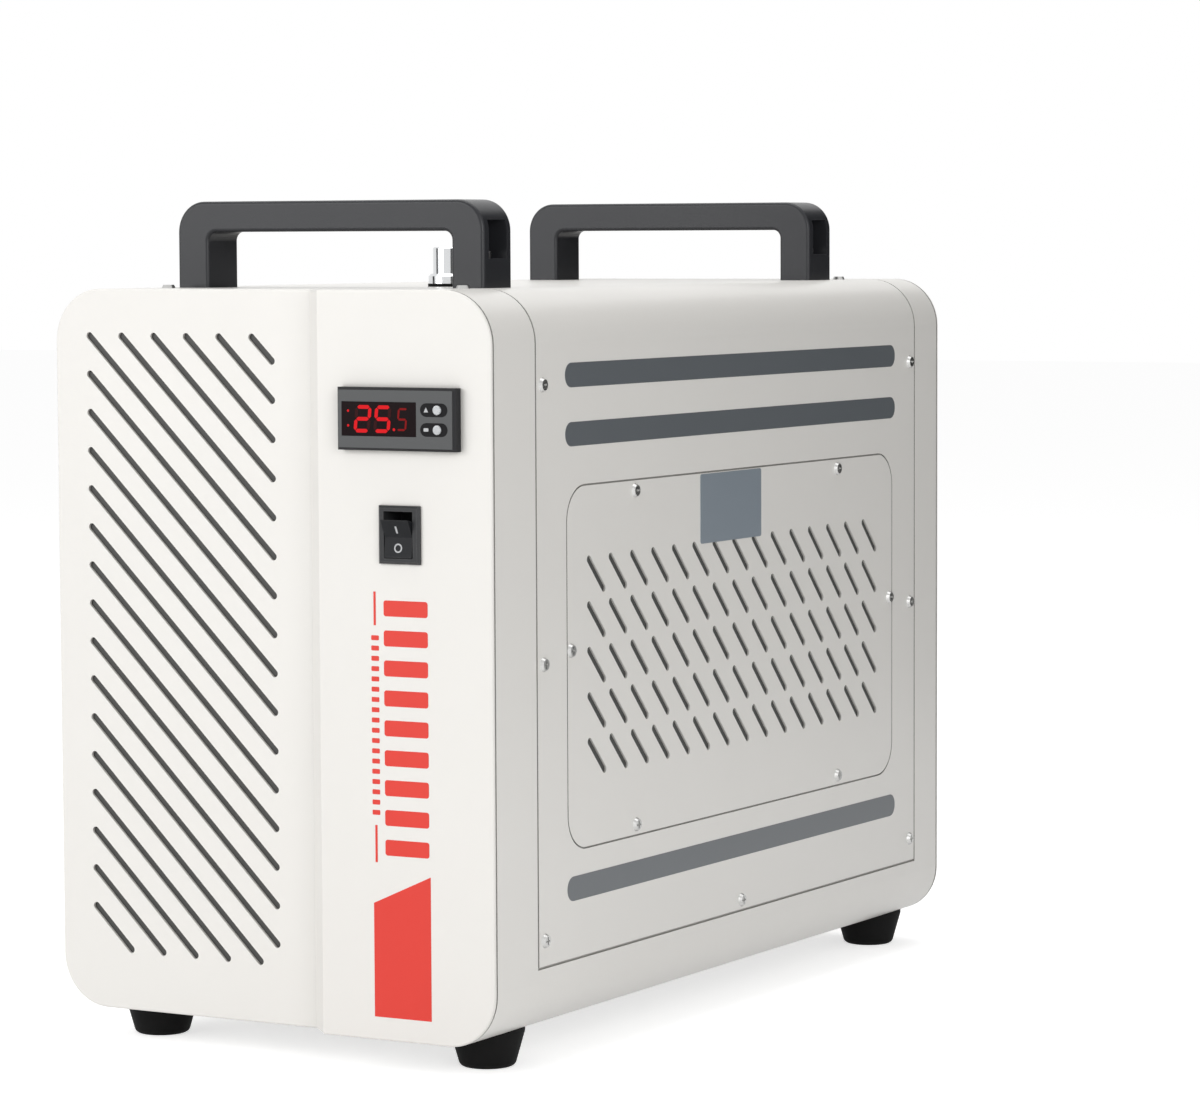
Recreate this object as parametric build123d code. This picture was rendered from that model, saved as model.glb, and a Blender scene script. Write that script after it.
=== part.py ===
"""Recirculating chiller: a compressor-cooled water bath in a painted sheet-metal casing.

Lengths are millimetres and angles are degrees. Every piece is modelled in the casing's own frame: X to the right
seen from the front, Y from the front face towards the rear, Z up from the casing's underside. export_all() moves
them all so that the origin lies under the middle of the whole object, on the surface that the feet stand on.
"""
from build123d import *
import math
import os

# Casing
BODY_WIDTH = 290.0
BODY_HEIGHT = 401.0
BODY_DEPTH = 548.0
CORNER_RADIUS = 29.0
SHEET = 1.2
FRONT_RIM_DEPTH = 45.0
REAR_RIM_DEPTH = 34.0
SIDE_STRIP_HEIGHT = 36.5
SEAM_GAP = 1.4
FLANGE_REACH = 14.0
FLANGE_GAP = 0.2

# Front and rear panels
PANEL_SHEET = 1.6
PANEL_EDGE_RADIUS = 1.2
PANEL_EDGE_GAP = 1.3
PANEL_FLANGE_DEPTH = 14.0
STEP_DEPTH = 13.5
STEP_FRONT_X = 37.0

# Diagonal slots in the front panel
GRILLE_LEFT = -122.0
GRILLE_RIGHT = -1.3
GRILLE_TOP = 375.0
GRILLE_BOTTOM = 34.0
GRILLE_PITCH_X = 21.55
GRILLE_PITCH_Z = 21.2
GRILLE_SLOT_WIDTH = 4.1

# Vent panels in the cover's sides
VENT_LENGTH = 404.0
VENT_HEIGHT = 199.0
VENT_CENTRE_Z = 195.5
VENT_RADIUS = 20.0
VENT_GAP = 1.0
VENT_LEDGE = 12.0
VENT_LEDGE_LAP = 8.0
VENT_COLUMNS = 15
VENT_ROWS = 5
VENT_PITCH_Y = 24.2
VENT_PITCH_Z = 24.9
VENT_SLOT_LENGTH = 27.6
VENT_SLOT_WIDTH = 4.3
VENT_SLOT_ANGLE = 46.0
VENT_SCREW_SPACING_Y = 251.0
VENT_SCREW_SPACING_Z = 186.0
VENT_END_SCREW_SPACING = 395.0
VENT_END_SCREW_RISE = 10.0
FILTER_SHEET = 2.0
FILTER_MARGIN = 3.0
FILTER_CLEARANCE = 0.3
CUTOUT_CLEARANCE = 0.3

# Screws
SCREW_HEAD_RADIUS = 3.9
SCREW_HEAD_HEIGHT = 1.8
SCREW_SHANK_RADIUS = 2.0
SCREW_LENGTH = 8.0
SCREW_HOLE_CLEARANCE = 0.25
SCREW_CROSS_LENGTH = 4.4
SCREW_CROSS_WIDTH = 0.9
SCREW_CROSS_DEPTH = 1.0
COVER_SCREW_INSET = 6.5
COVER_SCREW_HEIGHTS = (51.5, 200.5, 350.0)
COVER_BOTTOM_SCREW_RISE = 5.5
TOP_SCREW_X = 96.0

# Handles
HANDLE_LENGTH = 200.0
HANDLE_WIDTH = 30.0
HANDLE_HEIGHT = 48.0
HANDLE_LEG = 20.5
HANDLE_BAR = 17.0
HANDLE_OUTER_RADIUS = 17.0
HANDLE_INNER_RADIUS = 5.0
HANDLE_EDGE_RADIUS = 2.0
HANDLE_FRONT_Y = 83.0
HANDLE_REAR_Y = 472.0
HANDLE_POCKET_WIDTH = 19.0
HANDLE_POCKET_DEPTH = 16.0
HANDLE_POCKET_FLOOR = 16.0
HANDLE_POCKET_TOP = 37.0
HANDLE_BOLT_RADIUS = 3.0
HANDLE_BOLT_HEAD_RADIUS = 5.0
HANDLE_BOLT_HEAD_HEIGHT = 4.0

# Filler
FILLER_X = 35.0
FILLER_Y = 140.0
FILLER_FLANGE_RADIUS = 12.3
FILLER_FLANGE_HEIGHT = 5.5
FILLER_GASKET = 1.7
FILLER_CAP_RADIUS = 9.7
FILLER_CAP_HEIGHT = 14.8
FILLER_CAP_WALL = 1.6
FILLER_SPIGOT_RADIUS = 7.6
FILLER_BORE_RADIUS = 5.6
FILLER_SPIGOT_HEIGHT = 10.0
FILLER_TAIL_LENGTH = 22.0
FILLER_NUT_RADIUS = 12.0
FILLER_NUT_HEIGHT = 5.0
CAP_CLEARANCE = 0.3

# Feet
FOOT_HEIGHT = 19.5
FOOT_TOP_RADIUS = 20.5
FOOT_BOTTOM_RADIUS = 15.0
FOOT_EDGE_RADIUS = 3.5
FOOT_TOP_RISE = 3.6
FOOT_X = 107.3
FOOT_FRONT_Y = 54.7
FOOT_REAR_INSET = 23.0
FOOT_BOLT_RADIUS = 3.0
FOOT_BOLT_HEAD_RADIUS = 6.0
FOOT_BOLT_HEAD_HEIGHT = 4.0
FOOT_BOLT_RECESS_RADIUS = 7.5
FOOT_BOLT_RECESS_DEPTH = 8.0

# Thermostat
CONTROLLER_X = 89.5
CONTROLLER_Z = 333.0
CONTROLLER_WIDTH = 73.5
CONTROLLER_HEIGHT = 33.4
CONTROLLER_PROUD = 6.6
CONTROLLER_BODY_WIDTH = 68.0
CONTROLLER_BODY_HEIGHT = 28.0
CONTROLLER_BODY_DEPTH = 52.0
CONTROLLER_BEVEL = 1.4
CONTROLLER_FILM = 0.4
WINDOW_WIDTH = 46.5
WINDOW_HEIGHT = 18.3
WINDOW_X = -10.0
WINDOW_SHEET = 1.6
BUTTON_X = 26.4
BUTTON_PITCH = 10.4
BUTTON_RADIUS = 2.6
BUTTON_FLANGE_RADIUS = 3.4
BUTTON_FLANGE = 1.0
BUTTON_PROUD = 0.9
BUTTON_CLEARANCE = 0.3

# Rocker switch
SWITCH_X = 88.5
SWITCH_Z = 271.6
SWITCH_WIDTH = 25.4
SWITCH_HEIGHT = 31.0
SWITCH_PROUD = 2.6
SWITCH_BODY_WIDTH = 21.8
SWITCH_BODY_HEIGHT = 27.6
SWITCH_BODY_DEPTH = 26.0
SWITCH_BEZEL_BEVEL = 1.2
ROCKER_WIDTH = 17.0
ROCKER_HEIGHT = 24.0
ROCKER_WELL_DEPTH = 15.0
ROCKER_TILT = 11.0
ROCKER_PIVOT_DEPTH = 5.0
ROCKER_PIN_RADIUS = 1.6
ROCKER_PIN_CLEARANCE = 0.05
ROCKER_CLEARANCE = 0.5
ROCKER_END_CLEARANCE = 0.35
SWITCH_BLADE_WIDTH = 6.2
SWITCH_BLADE_SHEET = 0.8
SWITCH_BLADE_LENGTH = 8.0

# Fan and what carries it
FAN_Z = 262.0
FAN_OPENING_RADIUS = 103.0
FAN_RADIUS = 97.0
FAN_HUB_RADIUS = 34.0
FAN_BOSS_RADIUS = 10.0
FAN_DEPTH = 36.0
FAN_BLADES = 5
FAN_BLADE_SHEET = 2.2
FAN_BLADE_PITCH = 32.0
FAN_REAR_GAP = 8.0
FAN_SHAFT_RADIUS = 4.0
FAN_SHAFT_CLEARANCE = 0.05
MOTOR_RADIUS = 38.0
MOTOR_LENGTH = 34.0
MOTOR_GAP = 4.0
SHROUD_WIDTH = 232.0
SHROUD_HEIGHT = 252.0
SHROUD_SHEET = 1.5
SHROUD_DEPTH = 98.0
SHROUD_RING_DEPTH = 40.0
SHROUD_FLANGE = 8.0
BRACKET_ARM = 12.0
BRACKET_SHEET = 3.0
GUARD_WIRE_RADIUS = 1.4
GUARD_RINGS = 6
GUARD_SPOKES = 8
GUARD_SCREW_RADIUS = 114.0
GUARD_EYE_RADIUS = 6.0
GUARD_RING_LAP = 0.8

# Condenser
CONDENSER_DEPTH = 24.0
CONDENSER_HEADER_X = 106.0
CONDENSER_HEADER_RADIUS = 8.0
CONDENSER_TUBES = 12
CONDENSER_TUBE_HEIGHT = 2.0
CONDENSER_PIPE_INSET = 20.0
CONDENSER_STUB = 8.0
FIN_SHEET = 0.5
FIN_FOLDS = 18

# Compressor
COMPRESSOR_X = -62.0
COMPRESSOR_Y = 330.0
COMPRESSOR_RADIUS = 58.0
COMPRESSOR_HEIGHT = 205.0
COMPRESSOR_DOME = 22.0
COMPRESSOR_SEAM_RADIUS = 59.5
COMPRESSOR_SEAM_HEIGHT = 8.0
COMPRESSOR_PLATE = 3.0
COMPRESSOR_STUD_CIRCLE = 62.0
COMPRESSOR_EAR_RADIUS = 14.0
GROMMET_RADIUS = 11.0
GROMMET_WAIST_RADIUS = 8.6
GROMMET_HEIGHT = 15.0
GROMMET_BOLT_RADIUS = 3.0
GROMMET_BOLT_HEAD_RADIUS = 6.5
GROMMET_BOLT_HEAD_HEIGHT = 4.0
ACCUMULATOR_X = 24.0
ACCUMULATOR_Y = 342.0
ACCUMULATOR_RADIUS = 21.0
ACCUMULATOR_HEIGHT = 130.0
ACCUMULATOR_BASE = 60.0
LINK_Z = 42.0
LINK_BEND = 10.0
STRAP = 16.0
BOLT_HEAD_ROOM = 1.0
TERMINAL_COVER_WIDTH = 34.0
TERMINAL_COVER_LENGTH = 22.0
TERMINAL_COVER_OFFSET = 18.0
TERMINAL_COVER_CORNER = 5.0
TERMINAL_COVER_HEIGHT = 11.0

# Refrigerant pipes
DISCHARGE_RADIUS = 4.0
SUCTION_RADIUS = 4.8
LIQUID_RADIUS = 3.0
LIQUID_BEND = 6.0
SUCTION_BEND = 9.8
PIPE_BEND = 14.0
PIPE_TOP = 352.0
DRIER_RADIUS = 11.0
DRIER_LENGTH = 70.0
DRIER_GAP = 14.0

# Water tank and evaporator
TANK_LEFT = 20.0
TANK_RIGHT = 133.0
TANK_FRONT = 88.0
TANK_REAR = 288.0
TANK_BASE = 10.0
TANK_TOP = 299.0
TANK_SKIRT_INSET = 22.0
TANK_WALL = 2.5
TANK_CORNER = 8.0
SPIGOT_LENGTH = 12.0
SPIGOT_WALL = 1.5
COIL_MARGIN = 17.0
COIL_TURNS = 4
COIL_PITCH = 45.0
COIL_TOP = 262.0
COIL_BEND = 16.0
COIL_EXIT = 330.0
COIL_HOLE_CLEARANCE = 0.3

# Pump and hoses
PUMP_X = -63.0
PUMP_Y = 150.0
PUMP_Z = 54.0
PUMP_HEAD_RADIUS = 42.0
PUMP_HEAD_LENGTH = 30.0
PUMP_MOTOR_RADIUS = 36.0
PUMP_MOTOR_LENGTH = 66.0
PUMP_FOOT_WIDTH = 60.0
PUMP_FOOT_INSET = 18.0
PUMP_FOOT_SHEET = 4.0
PUMP_FINS = 24
PUMP_FIN_HEIGHT = 3.0
PUMP_FIN_SHEET = 2.4
PUMP_END_LENGTH = 8.0
PUMP_PORT_RADIUS = 6.0
HOSE_WALL = 2.4
HOSE_CLEARANCE = 0.15
HOSE_BEND = 18.0
HOSE_RUN_X = 8.5
HOSE_RUN_Z = 130.0
HOSE_RUN_GAP = 12.0
HOSE_DROP = (20.0, 50.0, 18.0)

# Rear connections
FITTING_Z = 56.0
OUTLET_X = 96.0
INLET_X = 56.0
BARB_RADIUS = 5.2
BARB_BORE_RADIUS = 3.4
BARB_RIDGE = 0.8
BARB_RIDGES = 3
BARB_RAMP = 0.35
FITTING_HEX = 20.0
FITTING_HEX_HEIGHT = 7.0
FITTING_THREAD_RADIUS = 8.0
REAR_PROJECTION = 24.5
DRAIN_X = 116.0
DRAIN_Z = 24.0
DRAIN_PORT_RADIUS = 6.5
DRAIN_CAP_RADIUS = 9.5
DRAIN_CAP_HEIGHT = 12.0
DRAIN_WALL = 2.0
DRAIN_CAP_GRIPS = 10
DRAIN_GRIP_RADIUS = 1.6
GAUGE_X = 122.0
GAUGE_LOW_Z = 110.0
GAUGE_HIGH_Z = 275.0
GAUGE_TUBE_RADIUS = 4.0
GAUGE_BLOCK = 13.0
GAUGE_PROUD = 14.0
GAUGE_HOSE_RADIUS = 3.5
GAUGE_HOSE_WALL = 1.0

# Electrics
MAINS_X = -104.0
MAINS_Z = 72.0
MAINS_WIDTH = 30.0
MAINS_HEIGHT = 58.0
MAINS_PROUD = 3.0
MAINS_BODY_WIDTH = 27.0
MAINS_BODY_HEIGHT = 47.0
MAINS_BODY_DEPTH = 28.0
SOCKET_WIDTH = 24.4
SOCKET_HEIGHT = 16.8
SOCKET_DEPTH = 16.0
SOCKET_CHAMFER = 4.6
PRONG_WIDTH = 4.0
PRONG_THICKNESS = 2.0
PRONG_LENGTH = 13.0
PRONG_SPACING = 7.0
PRONG_RISE = 2.0
FUSE_WIDTH = 22.0
FUSE_HEIGHT = 9.0
FUSE_DEPTH = 20.0
FUSE_CLEARANCE = 0.3
FUSE_PROUD = 1.2
ALARM_X = -56.0
ALARM_Z = 60.0
ALARM_BODY_RADIUS = 7.8
ALARM_PROUD = 9.0
ALARM_HEX_RADIUS = 11.0
ALARM_WALL = 1.5
ALARM_PIN_RADIUS = 1.0
ALARM_PIN_SPACING = 6.0
TRAY_LEFT = -136.0
TRAY_RIGHT = -2.0
TRAY_FRONT = 62.0
TRAY_REAR = 255.0
TRAY_HEIGHT = 188.0
TRAY_LEG_LEFT = -112.0
TRAY_FOOT = 12.0
RELAY_WIDTH = 82.0
RELAY_LENGTH = 130.0
RELAY_HEIGHT = 76.0
RELAY_CORNER = 4.0
RELAY_ENTRIES = 4
RELAY_ENTRY_RADIUS = 7.0
RELAY_ENTRY_LENGTH = 5.0

# Worked out from the sizes above
FLANGE_INSET = SHEET + FLANGE_GAP
FRONT_PROJECTION = CONTROLLER_PROUD + BUTTON_PROUD
OBJECT_LENGTH = FRONT_PROJECTION + BODY_DEPTH + REAR_PROJECTION
COVER_FRONT = FRONT_RIM_DEPTH + SEAM_GAP
COVER_REAR = BODY_DEPTH - REAR_RIM_DEPTH - SEAM_GAP
COVER_BOTTOM = SIDE_STRIP_HEIGHT + SEAM_GAP
COVER_MIDDLE = (COVER_FRONT + COVER_REAR) / 2
SIDE_X = BODY_WIDTH / 2
COVER_SCREW_YS = (COVER_FRONT + COVER_SCREW_INSET, COVER_REAR - COVER_SCREW_INSET)
LEDGE_INNER_X = SIDE_X - 2 * SHEET
REAR_INSIDE = BODY_DEPTH - PANEL_SHEET
FAN_REAR = BODY_DEPTH - FAN_REAR_GAP
FAN_FRONT = FAN_REAR - FAN_DEPTH
MOTOR_REAR = FAN_FRONT - MOTOR_GAP
MOTOR_FRONT = MOTOR_REAR - MOTOR_LENGTH
SHROUD_FRONT = REAR_INSIDE - SHROUD_DEPTH
CONDENSER_Y = SHROUD_FRONT - CONDENSER_DEPTH / 2
HOSE_RADIUS = PUMP_PORT_RADIUS + HOSE_CLEARANCE + HOSE_WALL
COIL_LEFT = TANK_LEFT + COIL_MARGIN
COIL_RIGHT = TANK_RIGHT - COIL_MARGIN
COIL_FRONT = TANK_FRONT + COIL_MARGIN
COIL_REAR = TANK_REAR - COIL_MARGIN
RETURN_Y = TANK_REAR - 2 * COIL_MARGIN


def along_y(sketch, y_from, y_to):
    """Extrude a sketch drawn in X and Z from one depth to another."""
    plane = Plane((0, y_from, 0), x_dir=(1, 0, 0), z_dir=(0, -1, 0))
    return extrude(plane * sketch, y_to - y_from, (0, 1, 0))


def along_x(sketch, x_from, x_to):
    """Extrude a sketch drawn in Y and Z from one side to another."""
    plane = Plane((x_from, 0, 0), x_dir=(0, 1, 0), z_dir=(1, 0, 0))
    return extrude(plane * sketch, x_to - x_from, (1, 0, 0))


def along_z(sketch, z_from, z_to):
    """Extrude a sketch drawn in X and Y upwards."""
    return extrude(Plane((0, 0, z_from)) * sketch, z_to - z_from, (0, 0, 1))


def block(x_range, y_range, z_range):
    """A box between two limits on each axis."""
    size = [high - low for low, high in (x_range, y_range, z_range)]
    middle = [(high + low) / 2 for low, high in (x_range, y_range, z_range)]
    return Pos(*middle) * Box(*size)


def rod_y(x, z, radius, y_from, y_to):
    """A round bar along Y."""
    return along_y(Pos(x, z) * Circle(radius), y_from, y_to)


def rod_x(y, z, radius, x_from, x_to):
    """A round bar along X."""
    return along_x(Pos(y, z) * Circle(radius), x_from, x_to)


def rod_z(x, y, radius, z_from, z_to):
    """A round bar along Z."""
    return along_z(Pos(x, y) * Circle(radius), z_from, z_to)


def bent_path(points, bend):
    """Straight runs joined by arcs of one radius."""
    corners = [Vector(*point) for point in points]
    runs = []
    start = corners[0]
    for before, corner, after in zip(corners, corners[1:], corners[2:]):
        back, on = (before - corner).normalized(), (after - corner).normalized()
        half = math.radians(back.get_angle(on)) / 2
        first, last = corner + back * (bend / math.tan(half)), corner + on * (bend / math.tan(half))
        middle = corner + (back + on).normalized() * (bend / math.sin(half) - bend)
        runs += [Line(start, first), ThreePointArc(first, middle, last)]
        start = last
    return runs + [Line(start, corners[-1])]


def tube_along(points, radius, bend, bore=0.0):
    """A pipe along a bent path, solid or with a bore."""
    section = Circle(radius) - Circle(bore) if bore else Circle(radius)
    runs = bent_path(points, bend)
    return Part() + [sweep(Plane(origin=run @ 0, z_dir=run % 0) * section, run) for run in runs]


def body_outline(inset):
    """The casing's rounded section, in X and Z, moved inwards all round."""
    width, height = BODY_WIDTH - 2 * inset, BODY_HEIGHT - 2 * inset
    return Pos(0, BODY_HEIGHT / 2) * RectangleRounded(width, height, CORNER_RADIUS - inset)


def body_ring(outer_inset, inner_inset, y_from, y_to):
    """A band of the casing's section."""
    return along_y(body_outline(outer_inset) - body_outline(inner_inset), y_from, y_to)


def behind_front(inset):
    """All that lies behind the stepped front face, moved back by the inset."""
    shift = inset * math.tan(math.radians(22.5))
    step_back_x = STEP_FRONT_X - STEP_DEPTH
    profile = Polygon(
        (-BODY_WIDTH, STEP_DEPTH + inset), (step_back_x + shift, STEP_DEPTH + inset),
        (STEP_FRONT_X + shift, inset), (BODY_WIDTH, inset),
        (BODY_WIDTH, BODY_DEPTH), (-BODY_WIDTH, BODY_DEPTH), align=None)
    return along_z(profile, -BODY_HEIGHT, 2 * BODY_HEIGHT)


def side_region(z_from, z_to, y_from, y_to):
    """A box across the whole casing, for keeping or cutting a stretch of a band."""
    return block((-BODY_WIDTH, BODY_WIDTH), (y_from, y_to), (z_from, z_to))


def chassis():
    """Front rim, floor with low side strips, and rear rim, welded into one shell."""
    rear_rim = BODY_DEPTH - REAR_RIM_DEPTH
    web_inset = FLANGE_INSET + SHEET
    front = body_ring(0, SHEET, 0, FRONT_RIM_DEPTH) & behind_front(PANEL_SHEET + PANEL_EDGE_GAP)
    front += body_ring(0, web_inset, FRONT_RIM_DEPTH - SHEET, FRONT_RIM_DEPTH)
    front += body_ring(FLANGE_INSET, web_inset, FRONT_RIM_DEPTH - SHEET, FRONT_RIM_DEPTH + FLANGE_REACH)
    rear = body_ring(0, SHEET, rear_rim, BODY_DEPTH - PANEL_SHEET - PANEL_EDGE_GAP)
    rear += body_ring(0, web_inset, rear_rim, rear_rim + SHEET)
    rear += body_ring(FLANGE_INSET, web_inset, rear_rim - FLANGE_REACH, rear_rim + SHEET)
    low = side_region(-SHEET, SIDE_STRIP_HEIGHT, FRONT_RIM_DEPTH - SHEET, rear_rim + SHEET)
    ledge = side_region(SIDE_STRIP_HEIGHT - SHEET, SIDE_STRIP_HEIGHT, 0, BODY_DEPTH)
    lip = side_region(SIDE_STRIP_HEIGHT - SHEET, SIDE_STRIP_HEIGHT + FLANGE_REACH, 0, BODY_DEPTH)
    floor = body_ring(0, SHEET, FRONT_RIM_DEPTH - SHEET, rear_rim + SHEET) & low
    floor += body_ring(0, web_inset, FRONT_RIM_DEPTH - SHEET, rear_rim + SHEET) & ledge
    floor += body_ring(FLANGE_INSET, web_inset, FRONT_RIM_DEPTH - SHEET, rear_rim + SHEET) & lip
    under_floor = side_region(0, SIDE_STRIP_HEIGHT - SHEET, FRONT_RIM_DEPTH, rear_rim)
    shell = front + rear - (body_ring(FLANGE_INSET, web_inset, 0, BODY_DEPTH) & under_floor) + floor
    for x, y in foot_places():
        shell -= rod_z(x, y, FOOT_BOLT_RADIUS + SCREW_HOLE_CLEARANCE, -SHEET, 2 * SHEET)
    for x, y in grommet_places():
        shell -= rod_z(x, y, GROMMET_BOLT_RADIUS + SCREW_HOLE_CLEARANCE, -SHEET, 2 * SHEET)
    return shell - cover_screw_holes(SCREW_SHANK_RADIUS + SCREW_HOLE_CLEARANCE)


def grille_slots():
    """Parallel diagonal slots that fill the left field of the front panel, as a sketch in X and Z."""
    slope = GRILLE_PITCH_Z / GRILLE_PITCH_X
    rows_down = int((GRILLE_TOP - GRILLE_BOTTOM - GRILLE_SLOT_WIDTH) / GRILLE_PITCH_Z)
    columns = int((GRILLE_RIGHT - GRILLE_LEFT - GRILLE_SLOT_WIDTH) / GRILLE_PITCH_X)
    starts = [(GRILLE_LEFT + i * GRILLE_PITCH_X, GRILLE_TOP) for i in range(columns + 1)]
    starts += [(GRILLE_LEFT, GRILLE_TOP - i * GRILLE_PITCH_Z) for i in range(1, rows_down + 1)]
    slots = Sketch()
    for x, z in starts:
        run = min(GRILLE_RIGHT - x, (z - GRILLE_BOTTOM) / slope)
        middle = Pos(x + run / 2, z - run * slope / 2)
        length = math.hypot(run, run * slope)
        angle = -math.degrees(math.atan(slope))
        slots += middle * Rot(0, 0, angle) * SlotCenterToCenter(length, GRILLE_SLOT_WIDTH)
    return slots


def front_edges(solid):
    """The outer fold of the stepped front face, without the two creases of its step."""
    faces = [f for f in solid.faces() if f.normal_at().Y < -0.5]
    edges = [e for f in faces for e in f.edges()]
    creases = [e for e in edges if sum(e.is_same(other) for other in edges) > 1]
    return [e for e in edges if not any(e.is_same(c) for c in creases)]


def front_panel():
    """Pressed face plate with a sloped step, diagonal slots and two instrument cut-outs."""
    deep = STEP_DEPTH + PANEL_FLANGE_DEPTH
    plate = along_y(body_outline(0), 0, deep) & behind_front(0)
    plate = fillet(front_edges(plate), PANEL_EDGE_RADIUS) - behind_front(PANEL_SHEET)
    flange = body_ring(FLANGE_INSET, FLANGE_INSET + SHEET, 0, deep) & behind_front(PANEL_SHEET / 2)
    plate += flange - behind_front(PANEL_FLANGE_DEPTH)
    plate -= along_y(grille_slots(), 0, deep)
    plate -= along_y(cutout(CONTROLLER_X, CONTROLLER_Z, CONTROLLER_BODY_WIDTH, CONTROLLER_BODY_HEIGHT), 0, deep)
    plate -= along_y(cutout(SWITCH_X, SWITCH_Z, SWITCH_BODY_WIDTH, SWITCH_BODY_HEIGHT), 0, deep)
    return plate


def cutout(x, z, width, height):
    """A rectangular hole with room for the body that goes through it."""
    return Pos(x, z) * Rectangle(width + 2 * CUTOUT_CLEARANCE, height + 2 * CUTOUT_CLEARANCE)


def front_filter():
    """Sheet of dust mesh held flat behind the front slots."""
    margin = GRILLE_SLOT_WIDTH + FILTER_MARGIN
    y_from = STEP_DEPTH + PANEL_SHEET
    return block((GRILLE_LEFT - margin, GRILLE_RIGHT + margin), (y_from, y_from + FILTER_SHEET),
                 (GRILLE_BOTTOM - margin, GRILLE_TOP + margin))


def vent_outline(grow):
    """The vent panel's rounded outline, in Y and Z."""
    shape = RectangleRounded(VENT_LENGTH + 2 * grow, VENT_HEIGHT + 2 * grow, VENT_RADIUS + grow)
    return Pos(COVER_MIDDLE, VENT_CENTRE_Z) * shape


def vent_slots(side):
    """Rows of slanted slots, in Y and Z, falling away to the right as seen from outside."""
    slot = Rot(0, 0, -side * VENT_SLOT_ANGLE) * SlotOverall(VENT_SLOT_LENGTH, VENT_SLOT_WIDTH)
    grid = GridLocations(VENT_PITCH_Y, VENT_PITCH_Z, VENT_COLUMNS, VENT_ROWS)
    return Sketch() + [Pos(COVER_MIDDLE, VENT_CENTRE_Z) * place * slot for place in grid]


def vent_screw_places():
    """Centres of the six screws that hold a vent panel, in Y and Z."""
    corners = [(COVER_MIDDLE + a * VENT_SCREW_SPACING_Y / 2, VENT_CENTRE_Z + b * VENT_SCREW_SPACING_Z / 2)
               for a in (-1, 1) for b in (-1, 1)]
    ends = [(COVER_MIDDLE + a * VENT_END_SCREW_SPACING / 2, VENT_CENTRE_Z + VENT_END_SCREW_RISE) for a in (-1, 1)]
    return corners + ends


def outward(side, sketch, inner_x, outer_x):
    """Extrude a Y and Z sketch between two distances from the middle, on one side of the casing."""
    low, high = sorted((side * inner_x, side * outer_x))
    return along_x(sketch, low, high)


def vent_panel(side):
    """Slotted cover plate that lies flush in the window of the casing's side."""
    plate = vent_outline(-VENT_GAP) - vent_slots(side)
    for y, z in vent_screw_places():
        plate -= Pos(y, z) * Circle(SCREW_SHANK_RADIUS + SCREW_HOLE_CLEARANCE)
    return outward(side, plate, SIDE_X - SHEET, SIDE_X)


def vent_filter(side):
    """Sheet of dust mesh behind a vent panel, inside the cover's ledge."""
    sheet = vent_outline(-VENT_LEDGE - FILTER_CLEARANCE)
    return outward(side, sheet, SIDE_X - SHEET - FILTER_SHEET, SIDE_X - SHEET)


def cover_side_screws():
    """Centres of the seven screws on each side of the cover, in Y and Z."""
    columns = [(y, z) for y in COVER_SCREW_YS for z in COVER_SCREW_HEIGHTS]
    return columns + [(COVER_MIDDLE, COVER_BOTTOM + COVER_BOTTOM_SCREW_RISE)]


def top_screw_places():
    """Centres of the four screws on top of the cover, in X and Y."""
    return [(a * TOP_SCREW_X, y) for a in (-1, 1) for y in COVER_SCREW_YS]


def cover_screw_holes(radius):
    """Bars where the cover's screws pass through the sheets."""
    side = Sketch() + [Pos(y, z) * Circle(radius) for y, z in cover_side_screws()]
    top = Sketch() + [Pos(x, y) * Circle(radius) for x, y in top_screw_places()]
    holes = along_z(top, BODY_HEIGHT - 4 * SHEET, BODY_HEIGHT + SHEET)
    for a in (-1, 1):
        holes += outward(a, side, SIDE_X - 4 * SHEET, SIDE_X + SHEET)
    return holes


def top_cover():
    """Cover that wraps over the top and both sides, with a ledged window for each vent panel."""
    sheet = body_ring(0, SHEET, COVER_FRONT, COVER_REAR)
    sheet = sheet & side_region(COVER_BOTTOM, BODY_HEIGHT, 0, BODY_DEPTH)
    for side in (-1, 1):
        sheet -= outward(side, vent_outline(0), SIDE_X - 2 * SHEET, SIDE_X + SHEET)
        ledge = vent_outline(VENT_LEDGE_LAP) - vent_outline(-VENT_LEDGE)
        sheet += outward(side, ledge, LEDGE_INNER_X, SIDE_X - SHEET)
        holes = Sketch() + [Pos(y, z) * Circle(SCREW_SHANK_RADIUS + SCREW_HOLE_CLEARANCE)
                            for y, z in vent_screw_places()]
        sheet -= outward(side, holes, LEDGE_INNER_X - SHEET, SIDE_X)
    sheet -= cover_screw_holes(SCREW_SHANK_RADIUS + SCREW_HOLE_CLEARANCE)
    sheet -= rod_z(FILLER_X, FILLER_Y, FILLER_SPIGOT_RADIUS + CAP_CLEARANCE, BODY_HEIGHT - 2 * SHEET,
                   BODY_HEIGHT + SHEET)
    for x, y in handle_bolt_places():
        sheet -= rod_z(x, y, HANDLE_BOLT_RADIUS + SCREW_HOLE_CLEARANCE, BODY_HEIGHT - 2 * SHEET,
                       BODY_HEIGHT + SHEET)
    return sheet


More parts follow.
